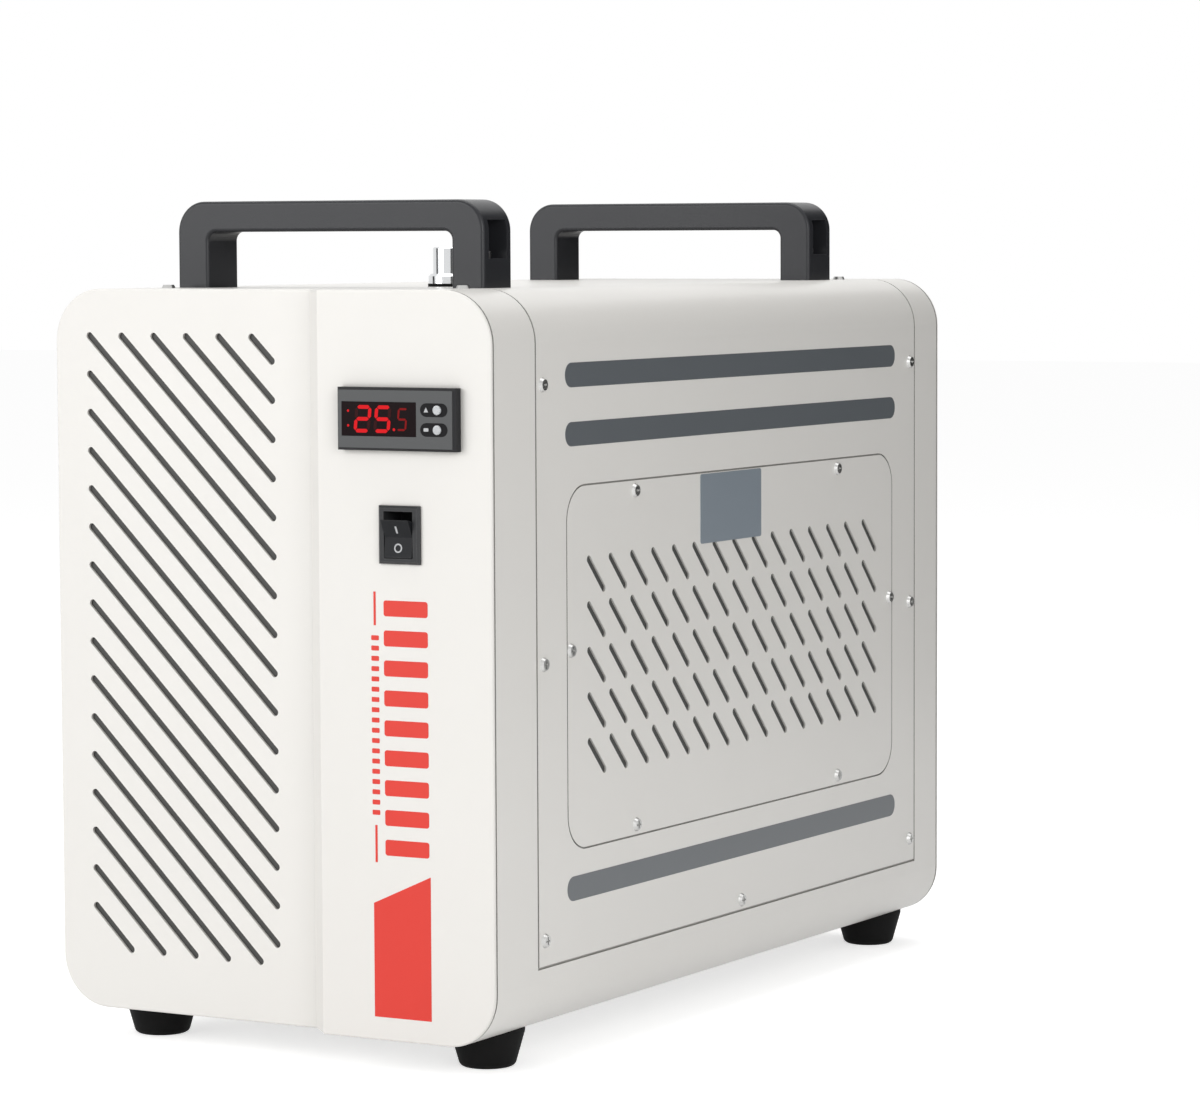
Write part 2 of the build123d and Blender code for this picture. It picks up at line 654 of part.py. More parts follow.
def screw():
    """Pan-head screw with a cross recess, head up, seated on the plane Z = 0."""
    top_radius = SCREW_HEAD_RADIUS - SCREW_HEAD_HEIGHT / 2
    head = Circle(SCREW_HEAD_RADIUS)
    shape = loft([head, Plane((0, 0, SCREW_HEAD_HEIGHT)) * Circle(top_radius)])
    shape += rod_z(0, 0, SCREW_SHANK_RADIUS, -SCREW_LENGTH, 0)
    cross = Rectangle(SCREW_CROSS_LENGTH, SCREW_CROSS_WIDTH) + Rectangle(SCREW_CROSS_WIDTH, SCREW_CROSS_LENGTH)
    return shape - along_z(cross, SCREW_HEAD_HEIGHT - SCREW_CROSS_DEPTH, SCREW_HEAD_HEIGHT + SHEET)


def side_screws(places):
    """Screws on both sides of the casing, at the given centres in Y and Z."""
    return [Pos(side * SIDE_X, y, z) * Rot(0, side * 90, 0) * screw() for side in (-1, 1) for y, z in places]


def casing_screws():
    """The screws that hold the cover, on both sides and on top, and the fan guard."""
    top = [Pos(x, y, BODY_HEIGHT) * screw() for x, y in top_screw_places()]
    seat = BODY_DEPTH + 2 * GUARD_WIRE_RADIUS
    rear = [Pos(x, seat, z) * Rot(-90, 0, 0) * screw() for x, z in guard_screw_places()]
    return Compound(children=side_screws(cover_side_screws()) + top + rear)


def vent_panel_screws():
    """The screws that hold both vent panels."""
    return Compound(children=side_screws(vent_screw_places()))


def handle_bolt_places():
    """Centres of the bolts through the handles' legs, in X and Y."""
    reach = HANDLE_LENGTH / 2 - HANDLE_LEG / 2
    return [(a * reach, y) for a in (-1, 1) for y in (HANDLE_FRONT_Y, HANDLE_REAR_Y)]


def handle(y):
    """Bridge handle moulded in one piece, with a pocket in each leg for its bolt."""
    outer = Pos(0, HANDLE_HEIGHT / 2) * Rectangle(HANDLE_LENGTH, HANDLE_HEIGHT)
    outer = fillet(outer.vertices().group_by(Axis.Y)[-1], HANDLE_OUTER_RADIUS)
    gap_height = HANDLE_HEIGHT - HANDLE_BAR
    inner = Pos(0, gap_height / 2) * Rectangle(HANDLE_LENGTH - 2 * HANDLE_LEG, gap_height)
    inner = fillet(inner.vertices().group_by(Axis.Y)[-1], HANDLE_INNER_RADIUS)
    shape = along_y(outer - inner, -HANDLE_WIDTH / 2, HANDLE_WIDTH / 2)
    rim = [e for f in (shape.faces().sort_by(Axis.Y)[0], shape.faces().sort_by(Axis.Y)[-1])
           for e in f.outer_wire().edges() if e.center().Z > HANDLE_HEIGHT / 4]
    top = [e for e in rim if e.center().Z > HANDLE_HEIGHT - HANDLE_BAR / 2 or abs(e.center().X) > HANDLE_LENGTH / 3]
    shape = fillet(top, HANDLE_EDGE_RADIUS)
    for a in (-1, 1):
        pocket = block(sorted((a * (HANDLE_LENGTH / 2 - HANDLE_POCKET_DEPTH), a * HANDLE_LENGTH)),
                       (-HANDLE_POCKET_WIDTH / 2, HANDLE_POCKET_WIDTH / 2), (HANDLE_POCKET_FLOOR, HANDLE_POCKET_TOP))
        bolt = rod_z(a * (HANDLE_LENGTH / 2 - HANDLE_LEG / 2), 0, HANDLE_BOLT_RADIUS + SCREW_HOLE_CLEARANCE,
                     -SHEET, HANDLE_POCKET_FLOOR + SHEET)
        shape = shape - pocket - bolt
    return Pos(0, y, BODY_HEIGHT) * shape


def handle_bolts():
    """One bolt in the pocket of each handle leg, down through the cover, with a nut under it."""
    bolts = []
    for x, y in handle_bolt_places():
        floor = BODY_HEIGHT + HANDLE_POCKET_FLOOR
        shape = rod_z(x, y, HANDLE_BOLT_HEAD_RADIUS, floor, floor + HANDLE_BOLT_HEAD_HEIGHT)
        shape += rod_z(x, y, HANDLE_BOLT_RADIUS, BODY_HEIGHT - 2 * HANDLE_BOLT_HEAD_HEIGHT, floor)
        nut = Pos(x, y) * RegularPolygon(HANDLE_BOLT_HEAD_RADIUS, 6)
        shape += along_z(nut, BODY_HEIGHT - SHEET - HANDLE_BOLT_HEAD_HEIGHT, BODY_HEIGHT - SHEET)
        bolts.append(shape)
    return Compound(children=bolts)


def turned(profile):
    """Revolve a radius and height outline about the vertical axis."""
    return revolve(Plane.XZ * Polygon(*profile, align=None), Axis.Z)


def filler_neck():
    """Flanged neck with a spigot for the cap and a tail for the filler hose, clamped by a nut."""
    top = FILLER_GASKET + FILLER_FLANGE_HEIGHT
    bevel = FILLER_FLANGE_HEIGHT / 4
    shape = turned([
        (FILLER_BORE_RADIUS, -FILLER_TAIL_LENGTH), (FILLER_SPIGOT_RADIUS, -FILLER_TAIL_LENGTH),
        (FILLER_SPIGOT_RADIUS, FILLER_GASKET), (FILLER_FLANGE_RADIUS, FILLER_GASKET),
        (FILLER_FLANGE_RADIUS, top - bevel), (FILLER_FLANGE_RADIUS - bevel, top), (FILLER_SPIGOT_RADIUS, top),
        (FILLER_SPIGOT_RADIUS, top + FILLER_SPIGOT_HEIGHT), (FILLER_BORE_RADIUS, top + FILLER_SPIGOT_HEIGHT)])
    nut = RegularPolygon(FILLER_NUT_RADIUS, 6) - Circle(FILLER_BORE_RADIUS)
    shape += along_z(nut, -SHEET - FILLER_NUT_HEIGHT, -SHEET)
    return Pos(FILLER_X, FILLER_Y, BODY_HEIGHT) * shape


def filler_gasket():
    """Flat rubber ring between the neck's flange and the cover."""
    ring = Circle(FILLER_FLANGE_RADIUS + CAP_CLEARANCE) - Circle(FILLER_SPIGOT_RADIUS + CAP_CLEARANCE)
    return Pos(FILLER_X, FILLER_Y, BODY_HEIGHT) * along_z(ring, 0, FILLER_GASKET)


def filler_cap():
    """Turned cap, closed at the top, that screws over the neck's spigot."""
    base = FILLER_GASKET + FILLER_FLANGE_HEIGHT
    inner = FILLER_SPIGOT_RADIUS + CAP_CLEARANCE
    roof = FILLER_CAP_HEIGHT - FILLER_CAP_WALL
    bevel = CAP_CLEARANCE * 2
    shape = turned([
        (inner, 0), (FILLER_CAP_RADIUS, 0), (FILLER_CAP_RADIUS, FILLER_CAP_HEIGHT - bevel),
        (FILLER_CAP_RADIUS - bevel, FILLER_CAP_HEIGHT), (0, FILLER_CAP_HEIGHT), (0, roof), (inner, roof)])
    return Pos(FILLER_X, FILLER_Y, BODY_HEIGHT + base) * shape


def foot_places():
    """Centres of the four feet, in X and Y."""
    return [(a * FOOT_X, y) for y in (FOOT_FRONT_Y, BODY_DEPTH - FOOT_REAR_INSET) for a in (-1, 1)]


def foot(x, y):
    """Tapered rubber foot that follows the casing's lower corner, recessed for its bolt."""
    shape = turned([(0, -FOOT_HEIGHT), (FOOT_BOTTOM_RADIUS, -FOOT_HEIGHT), (FOOT_TOP_RADIUS, 0),
                    (FOOT_TOP_RADIUS, FOOT_TOP_RISE), (0, FOOT_TOP_RISE)])
    lowest = shape.edges().filter_by(GeomType.CIRCLE).sort_by(Axis.Z)[0]
    shape = fillet(lowest, FOOT_EDGE_RADIUS)
    shape -= rod_z(0, 0, FOOT_BOLT_RECESS_RADIUS, -FOOT_HEIGHT - SHEET, -FOOT_HEIGHT + FOOT_BOLT_RECESS_DEPTH)
    shape -= rod_z(0, 0, FOOT_BOLT_RADIUS + SCREW_HOLE_CLEARANCE, -FOOT_HEIGHT, CORNER_RADIUS)
    return Pos(x, y, 0) * shape - along_y(body_outline(0), 0, BODY_DEPTH)


def foot_bolts():
    """A bolt up through each foot and the floor, with its nut inside."""
    bolts = []
    seat = FOOT_BOLT_RECESS_DEPTH - FOOT_HEIGHT
    for x, y in foot_places():
        shape = rod_z(x, y, FOOT_BOLT_HEAD_RADIUS, seat - FOOT_BOLT_HEAD_HEIGHT, seat)
        shape += rod_z(x, y, FOOT_BOLT_RADIUS, seat, 3 * FOOT_BOLT_HEAD_HEIGHT)
        nut = Pos(x, y) * RegularPolygon(FOOT_BOLT_HEAD_RADIUS, 6)
        bolts.append(shape + along_z(nut, SHEET, SHEET + FOOT_BOLT_HEAD_HEIGHT))
    return Compound(children=bolts)


def button_places():
    """Centres of the thermostat's two buttons, in X and Z."""
    return [(CONTROLLER_X + BUTTON_X, CONTROLLER_Z + a * BUTTON_PITCH / 2) for a in (-1, 1)]


def window_outline(grow):
    """The display window, in X and Z."""
    return Pos(CONTROLLER_X + WINDOW_X, CONTROLLER_Z) * Rectangle(WINDOW_WIDTH + 2 * grow, WINDOW_HEIGHT + 2 * grow)


def controller_case():
    """Thermostat moulding: bevelled bezel, deep body, window recess and button wells."""
    face = -CONTROLLER_PROUD + CONTROLLER_FILM
    bezel = along_y(Pos(CONTROLLER_X, CONTROLLER_Z) * Rectangle(CONTROLLER_WIDTH, CONTROLLER_HEIGHT), face, 0)
    bezel = chamfer(bezel.faces().sort_by(Axis.Y)[0].edges(), CONTROLLER_BEVEL)
    body = Rectangle(CONTROLLER_BODY_WIDTH, CONTROLLER_BODY_HEIGHT)
    shape = bezel + along_y(Pos(CONTROLLER_X, CONTROLLER_Z) * body, 0, CONTROLLER_BODY_DEPTH)
    shape -= along_y(window_outline(0), face - WINDOW_SHEET, -CONTROLLER_PROUD + WINDOW_SHEET)
    for x, z in button_places():
        shape -= rod_y(x, z, BUTTON_FLANGE_RADIUS + BUTTON_CLEARANCE, face - WINDOW_SHEET, 0)
    return shape


def controller_film():
    """Printed face film with openings for the window and the buttons."""
    width = CONTROLLER_WIDTH - 2 * CONTROLLER_BEVEL
    height = CONTROLLER_HEIGHT - 2 * CONTROLLER_BEVEL
    film = Pos(CONTROLLER_X, CONTROLLER_Z) * Rectangle(width, height) - window_outline(0)
    for x, z in button_places():
        film -= Pos(x, z) * Circle(BUTTON_RADIUS + BUTTON_CLEARANCE)
    return along_y(film, -CONTROLLER_PROUD, -CONTROLLER_PROUD + CONTROLLER_FILM)


def display_window():
    """Dark tinted window over the digits, flush with the face film."""
    return along_y(window_outline(-FLANGE_GAP), -CONTROLLER_PROUD, -CONTROLLER_PROUD + WINDOW_SHEET)


def controller_button(x, z):
    """Round button kept in by a flange behind the face film."""
    behind_film = -CONTROLLER_PROUD + CONTROLLER_FILM + FLANGE_GAP
    stem = rod_y(x, z, BUTTON_RADIUS, -CONTROLLER_PROUD - BUTTON_PROUD, behind_film)
    stem = fillet(stem.edges().sort_by(Axis.Y)[0], BUTTON_PROUD / 2)
    return stem + rod_y(x, z, BUTTON_FLANGE_RADIUS, behind_film, behind_film + BUTTON_FLANGE)


def switch_housing():
    """Rocker switch moulding: bezel, body, well for the rocker and three blade terminals."""
    bezel = Pos(SWITCH_X, SWITCH_Z) * Rectangle(SWITCH_WIDTH, SWITCH_HEIGHT)
    shape = along_y(bezel, -SWITCH_PROUD, 0)
    shape = chamfer(shape.faces().sort_by(Axis.Y)[0].edges(), SWITCH_BEZEL_BEVEL)
    body = Rectangle(SWITCH_BODY_WIDTH, SWITCH_BODY_HEIGHT)
    shape += along_y(Pos(SWITCH_X, SWITCH_Z) * body, 0, SWITCH_BODY_DEPTH)
    well = Rectangle(ROCKER_WIDTH + 2 * ROCKER_CLEARANCE, ROCKER_HEIGHT + 2 * ROCKER_CLEARANCE)
    shape -= along_y(Pos(SWITCH_X, SWITCH_Z) * well, -2 * SWITCH_PROUD, ROCKER_WELL_DEPTH)
    pin_reach = ROCKER_WIDTH / 2 + 2 * ROCKER_CLEARANCE + SHEET
    shape -= rod_x(ROCKER_PIVOT_DEPTH, SWITCH_Z, ROCKER_PIN_RADIUS + ROCKER_PIN_CLEARANCE,
                   SWITCH_X - pin_reach, SWITCH_X + pin_reach)
    for a in (-1, 0, 1):
        blade = Rectangle(SWITCH_BLADE_SHEET, SWITCH_BLADE_WIDTH)
        shape += along_y(Pos(SWITCH_X, SWITCH_Z + a * SWITCH_BODY_HEIGHT / 3) * blade, SWITCH_BODY_DEPTH,
                         SWITCH_BODY_DEPTH + SWITCH_BLADE_LENGTH)
    return shape


def switch_rocker():
    """Rocker with two inclined faces and pivot pins, tipped so that its lower half is pressed in."""
    tilt = math.radians(ROCKER_TILT)
    front = -ROCKER_PIVOT_DEPTH - SWITCH_PROUD - ROCKER_CLEARANCE
    room = ROCKER_HEIGHT / 2 + ROCKER_CLEARANCE - ROCKER_END_CLEARANCE
    half = (room + front * math.sin(tilt)) * math.cos(tilt)
    rise = half * math.tan(tilt)
    back = ROCKER_PIVOT_DEPTH / 2
    profile = Polygon((front + rise / 2, 0), (front - rise, half), (back, half / 2), (back, -half / 2),
                      (front - rise, -half), align=None)
    shape = along_x(profile, -ROCKER_WIDTH / 2, ROCKER_WIDTH / 2)
    pin = ROCKER_WIDTH / 2 + ROCKER_CLEARANCE + SHEET
    shape += rod_x(0, 0, ROCKER_PIN_RADIUS, -pin, pin)
    return Pos(SWITCH_X, ROCKER_PIVOT_DEPTH, SWITCH_Z) * Rot(ROCKER_TILT, 0, 0) * shape


def rear_panel():
    """Pressed rear plate with the fan opening and the holes for every connection."""
    plate = along_y(body_outline(0), REAR_INSIDE, BODY_DEPTH)
    plate = fillet(plate.faces().sort_by(Axis.Y)[-1].edges(), PANEL_EDGE_RADIUS)
    plate += body_ring(FLANGE_INSET, FLANGE_INSET + SHEET, BODY_DEPTH - PANEL_FLANGE_DEPTH, BODY_DEPTH - SHEET)
    holes = Pos(0, FAN_Z) * Circle(FAN_OPENING_RADIUS)
    for x in (OUTLET_X, INLET_X):
        holes += Pos(x, FITTING_Z) * Circle(FITTING_THREAD_RADIUS + SCREW_HOLE_CLEARANCE)
    holes += Pos(DRAIN_X, DRAIN_Z) * Circle(DRAIN_PORT_RADIUS + SCREW_HOLE_CLEARANCE)
    holes += Pos(ALARM_X, ALARM_Z) * Circle(ALARM_BODY_RADIUS + SCREW_HOLE_CLEARANCE)
    holes += cutout(MAINS_X, MAINS_Z, MAINS_BODY_WIDTH, MAINS_BODY_HEIGHT)
    for z in (GAUGE_LOW_Z, GAUGE_HIGH_Z):
        holes += Pos(GAUGE_X, z) * Circle(GAUGE_HOSE_RADIUS + SCREW_HOLE_CLEARANCE)
    for x, z in guard_screw_places():
        holes += Pos(x, z) * Circle(SCREW_SHANK_RADIUS + SCREW_HOLE_CLEARANCE)
    return plate - along_y(holes, BODY_DEPTH / 2, BODY_DEPTH + SHEET)


def guard_screw_places():
    """Centres of the four screws that hold the fan guard, in X and Z."""
    reach = GUARD_SCREW_RADIUS / math.sqrt(2)
    return [(a * reach, FAN_Z + b * reach) for a in (-1, 1) for b in (-1, 1)]


def fan_guard():
    """Finger guard of welded wire: rings, spokes and four screw eyes."""
    wire = GUARD_WIRE_RADIUS
    spoke_y = BODY_DEPTH + wire
    ring_y = spoke_y + 2 * wire - GUARD_RING_LAP * wire / 2
    pitch = FAN_OPENING_RADIUS / GUARD_RINGS
    shape = None
    for i in range(1, GUARD_RINGS + 1):
        section = Plane.XY * Pos(i * pitch, ring_y) * Rectangle(2 * wire, 2 * wire)
        ring = Pos(0, 0, FAN_Z) * revolve(section, Axis.Y)
        shape = ring if shape is None else shape + ring
    for i in range(GUARD_SPOKES):
        turn = Pos(0, spoke_y, FAN_Z) * Rot(0, i * 360 / GUARD_SPOKES + 45, 0)
        reach = GUARD_SCREW_RADIUS if i % 2 == 0 else FAN_OPENING_RADIUS + wire
        shape += turn * block((pitch, reach - i % 2 * wire), (-wire, wire), (-wire, wire))
    for x, z in guard_screw_places():
        shape += rod_y(x, z, GUARD_EYE_RADIUS, BODY_DEPTH, spoke_y + wire)
        shape -= rod_y(x, z, SCREW_SHANK_RADIUS + SCREW_HOLE_CLEARANCE, BODY_DEPTH, ring_y + wire)
    return shape


def fan_shroud():
    """Sheet duct from the condenser to the fan opening, with a ring round the blades."""
    outline = Pos(0, FAN_Z) * Rectangle(SHROUD_WIDTH, SHROUD_HEIGHT)
    inside = Pos(0, FAN_Z) * Rectangle(SHROUD_WIDTH - 2 * SHROUD_SHEET, SHROUD_HEIGHT - 2 * SHROUD_SHEET)
    flange = Pos(0, FAN_Z) * Rectangle(SHROUD_WIDTH - 2 * SHROUD_FLANGE, SHROUD_HEIGHT - 2 * SHROUD_FLANGE)
    opening = Pos(0, FAN_Z) * Circle(FAN_OPENING_RADIUS - SHROUD_SHEET)
    ring_front = REAR_INSIDE - SHROUD_RING_DEPTH
    shape = along_y(outline - inside, SHROUD_FRONT, REAR_INSIDE)
    shape += along_y(outline - flange, SHROUD_FRONT, SHROUD_FRONT + SHROUD_SHEET)
    shape += along_y(outline - opening, REAR_INSIDE - SHROUD_SHEET, REAR_INSIDE)
    ring = Pos(0, FAN_Z) * Circle(FAN_OPENING_RADIUS) - opening
    shape += along_y(ring, ring_front, REAR_INSIDE)
    screws = Sketch() + [Pos(x, z) * Circle(SCREW_SHANK_RADIUS + SCREW_HOLE_CLEARANCE)
                         for x, z in guard_screw_places()]
    return shape - along_y(screws, ring_front, BODY_DEPTH)


def motor_bracket():
    """Four arms and a ring plate that hold the fan motor inside the shroud."""
    front = MOTOR_REAR - BRACKET_SHEET
    half_width = SHROUD_WIDTH / 2 - SHROUD_SHEET
    half_height = SHROUD_HEIGHT / 2 - SHROUD_SHEET
    plate = Circle(MOTOR_RADIUS + BRACKET_ARM)
    plate += Rectangle(2 * half_width, BRACKET_ARM) + Rectangle(BRACKET_ARM, 2 * half_height)
    plate = Pos(0, FAN_Z) * (plate - Circle(MOTOR_RADIUS + FLANGE_GAP))
    return along_y(plate, front, MOTOR_REAR)


def fan_motor():
    """Round fan motor with a mounting collar and its shaft."""
    shape = rod_y(0, FAN_Z, MOTOR_RADIUS, MOTOR_FRONT, MOTOR_REAR)
    shape = fillet(shape.faces().sort_by(Axis.Y)[0].edges(), MOTOR_GAP)
    shape += rod_y(0, FAN_Z, MOTOR_RADIUS + BRACKET_ARM / 2, MOTOR_REAR - 2 * BRACKET_SHEET,
                   MOTOR_REAR - BRACKET_SHEET)
    return shape + rod_y(0, FAN_Z, FAN_SHAFT_RADIUS, MOTOR_REAR, FAN_REAR - BRACKET_SHEET)


def fan_blade():
    """One pitched blade, cut by the hub and the sweep circle from a tilted plate."""
    middle = (FAN_HUB_RADIUS + FAN_RADIUS) / 2
    span = FAN_RADIUS - FAN_HUB_RADIUS + 2 * MOTOR_GAP
    chord = (FAN_DEPTH - 2 * FAN_BLADE_SHEET) / math.sin(math.radians(FAN_BLADE_PITCH))
    plate = Box(chord, FAN_BLADE_SHEET, span)
    plate = fillet(plate.edges().filter_by(Axis.Y).group_by(Axis.Z)[-1], FAN_HUB_RADIUS / 2)
    zone = rod_y(0, 0, FAN_RADIUS, -FAN_DEPTH / 2, FAN_DEPTH / 2)
    return Pos(0, 0, middle) * Rot(0, 0, FAN_BLADE_PITCH) * plate & zone


def fan_rotor():
    """Moulded fan: hub with pitched blades."""
    shape = rod_y(0, 0, FAN_HUB_RADIUS, -FAN_DEPTH / 2, FAN_DEPTH / 2)
    for i in range(FAN_BLADES):
        shape += Rot(0, i * 360 / FAN_BLADES, 0) * fan_blade()
    cup = rod_y(0, 0, FAN_HUB_RADIUS - 2 * FAN_BLADE_SHEET, -FAN_DEPTH, FAN_DEPTH / 2 - 4 * FAN_BLADE_SHEET)
    boss = rod_y(0, 0, FAN_BOSS_RADIUS, -FAN_DEPTH / 2, FAN_DEPTH / 2)
    shape = shape - cup + boss
    bore = rod_y(0, 0, FAN_SHAFT_RADIUS + FAN_SHAFT_CLEARANCE, -FAN_DEPTH, FAN_DEPTH / 2 - BRACKET_SHEET
                 + FAN_SHAFT_CLEARANCE)
    return Pos(0, (FAN_FRONT + FAN_REAR) / 2, FAN_Z) * (shape - bore)


def condenser_rows():
    """Heights of the condenser's flat tubes."""
    height = SHROUD_HEIGHT - 2 * SHROUD_FLANGE
    pitch = height / (CONDENSER_TUBES - 1)
    return [FAN_Z - height / 2 + i * pitch for i in range(CONDENSER_TUBES)]


def fin_strip():
    """One folded fin strip, in X and Z, that meets the tubes above and below it."""
    rows = condenser_rows()
    gap = rows[1] - rows[0] - CONDENSER_TUBE_HEIGHT
    reach = CONDENSER_HEADER_X - CONDENSER_HEADER_RADIUS - FIN_SHEET
    pitch = 2 * reach / FIN_FOLDS
    rise = gap / 2
    shift = FIN_SHEET * math.hypot(pitch, 2 * rise) / pitch / 2
    points = [(-reach + i * pitch, rise * (1 if i % 2 else -1)) for i in range(FIN_FOLDS + 1)]
    lower = [(x, z - shift) for x, z in points]
    upper = [(x, z + shift) for x, z in reversed(points)]
    return Polygon(*lower, *upper, align=None) & Rectangle(2 * reach, gap + CONDENSER_TUBE_HEIGHT)


def condenser():
    """Brazed condenser: two headers, flat tubes with folded fins between them, and a stub for each pipe."""
    rows = condenser_rows()
    low, high = rows[0] - CONDENSER_TUBE_HEIGHT * 2, rows[-1] + CONDENSER_TUBE_HEIGHT * 2
    core = Sketch() + [Pos(0, z) * Rectangle(2 * CONDENSER_HEADER_X, CONDENSER_TUBE_HEIGHT) for z in rows]
    strip = fin_strip()
    core += [Pos(0, (a + b) / 2) * strip for a, b in zip(rows, rows[1:])]
    shape = along_y(core, CONDENSER_Y - CONDENSER_DEPTH / 2, CONDENSER_Y + CONDENSER_DEPTH / 2)
    shape += rod_z(-CONDENSER_HEADER_X, CONDENSER_Y, CONDENSER_HEADER_RADIUS, low, high)
    shape += rod_z(CONDENSER_HEADER_X, CONDENSER_Y, CONDENSER_HEADER_RADIUS, low, high)
    stub_front = CONDENSER_Y - CONDENSER_HEADER_RADIUS - CONDENSER_STUB
    shape += rod_y(-CONDENSER_HEADER_X, high - CONDENSER_PIPE_INSET, DISCHARGE_RADIUS, stub_front, CONDENSER_Y)
    shape += rod_y(CONDENSER_HEADER_X, low + CONDENSER_PIPE_INSET, LIQUID_RADIUS, stub_front, CONDENSER_Y)
    return shape


def grommet_places():
    """Centres of the compressor's three mounts, in X and Y."""
    return [(COMPRESSOR_X + COMPRESSOR_STUD_CIRCLE * math.cos(math.radians(a)),
             COMPRESSOR_Y + COMPRESSOR_STUD_CIRCLE * math.sin(math.radians(a))) for a in (0, 120, 240)]


def compressor_levels():
    """Heights of the underside of the compressor's plate, of its can's base and of its can's top."""
    base = SHEET + GROMMET_HEIGHT
    can_base = base + COMPRESSOR_PLATE
    return base, can_base, can_base + COMPRESSOR_HEIGHT


def compressor_plate():
    """Mounting plate with three ears."""
    base, can_base, top = compressor_levels()
    plate = Pos(COMPRESSOR_X, COMPRESSOR_Y) * Circle(COMPRESSOR_RADIUS - COMPRESSOR_PLATE)
    plate += [Pos(x, y) * Circle(COMPRESSOR_EAR_RADIUS) for x, y in grommet_places()]
    plate -= [Pos(x, y) * Circle(GROMMET_BOLT_RADIUS + SCREW_HOLE_CLEARANCE) for x, y in grommet_places()]
    return along_z(plate, base, can_base)


def accumulator():
    """Suction accumulator beside the can, with its strap and its link pipe."""
    top = ACCUMULATOR_BASE + ACCUMULATOR_HEIGHT
    shape = rod_z(ACCUMULATOR_X, ACCUMULATOR_Y, ACCUMULATOR_RADIUS, ACCUMULATOR_BASE, top)
    shape = fillet(shape.edges().filter_by(GeomType.CIRCLE), ACCUMULATOR_RADIUS / 2)
    shape += rod_z(ACCUMULATOR_X, ACCUMULATOR_Y, SUCTION_RADIUS, top - SHEET, top + CONDENSER_STUB)
    link = [(ACCUMULATOR_X, ACCUMULATOR_Y, ACCUMULATOR_BASE + SHEET), (ACCUMULATOR_X, ACCUMULATOR_Y, LINK_Z),
            (COMPRESSOR_X, COMPRESSOR_Y, LINK_Z)]
    shape += tube_along(link, DISCHARGE_RADIUS, LINK_BEND)
    middle = ACCUMULATOR_BASE + ACCUMULATOR_HEIGHT / 2
    return shape + block((COMPRESSOR_X, ACCUMULATOR_X), (ACCUMULATOR_Y - STRAP / 2, ACCUMULATOR_Y + STRAP / 2),
                         (middle - STRAP / 2, middle + STRAP / 2))


def compressor():
    """Hermetic can with a welded seam, domed top and terminal cover, on its plate beside the accumulator."""
    base, can_base, top = compressor_levels()
    can = rod_z(COMPRESSOR_X, COMPRESSOR_Y, COMPRESSOR_RADIUS, can_base, top)
    can = fillet(can.faces().sort_by(Axis.Z)[-1].edges(), COMPRESSOR_DOME)
    for x, y in grommet_places():
        can -= rod_z(x, y, GROMMET_BOLT_HEAD_RADIUS + BOLT_HEAD_ROOM, can_base,
                     can_base + GROMMET_BOLT_HEAD_HEIGHT + BOLT_HEAD_ROOM)
    seam = top - COMPRESSOR_DOME - 2 * COMPRESSOR_SEAM_HEIGHT
    shape = compressor_plate() + can + accumulator()
    shape += rod_z(COMPRESSOR_X, COMPRESSOR_Y, COMPRESSOR_SEAM_RADIUS, seam, seam + COMPRESSOR_SEAM_HEIGHT)
    shape += rod_z(COMPRESSOR_X, COMPRESSOR_Y, DISCHARGE_RADIUS, top - COMPRESSOR_DOME, top + CONDENSER_STUB)
    cover = Pos(COMPRESSOR_X, COMPRESSOR_Y - TERMINAL_COVER_OFFSET) * RectangleRounded(
        TERMINAL_COVER_WIDTH, TERMINAL_COVER_LENGTH, TERMINAL_COVER_CORNER)
    return shape + along_z(cover, top - SHEET, top + TERMINAL_COVER_HEIGHT)


def compressor_mounts():
    """Three waisted rubber mounts under the compressor's plate."""
    mounts = []
    for x, y in grommet_places():
        profile = [(GROMMET_BOLT_RADIUS + SCREW_HOLE_CLEARANCE, 0), (GROMMET_RADIUS, 0),
                   (GROMMET_RADIUS, GROMMET_HEIGHT / 4), (GROMMET_WAIST_RADIUS, GROMMET_HEIGHT / 2),
                   (GROMMET_RADIUS, GROMMET_HEIGHT * 3 / 4), (GROMMET_RADIUS, GROMMET_HEIGHT),
                   (GROMMET_BOLT_RADIUS + SCREW_HOLE_CLEARANCE, GROMMET_HEIGHT)]
        mounts.append(Pos(x, y, SHEET) * turned(profile))
    return Compound(children=mounts)


def compressor_bolts():
    """The bolts that hold the compressor's plate down through its mounts."""
    bolts = []
    top = SHEET + GROMMET_HEIGHT + COMPRESSOR_PLATE
    for x, y in grommet_places():
        shape = rod_z(x, y, GROMMET_BOLT_HEAD_RADIUS, top, top + GROMMET_BOLT_HEAD_HEIGHT)
        shape += rod_z(x, y, GROMMET_BOLT_RADIUS, -GROMMET_BOLT_HEAD_HEIGHT, top)
        nut = Pos(x, y) * RegularPolygon(GROMMET_BOLT_HEAD_RADIUS, 6)
        bolts.append(shape + along_z(nut, -GROMMET_BOLT_HEAD_HEIGHT, 0))
    return Compound(children=bolts)


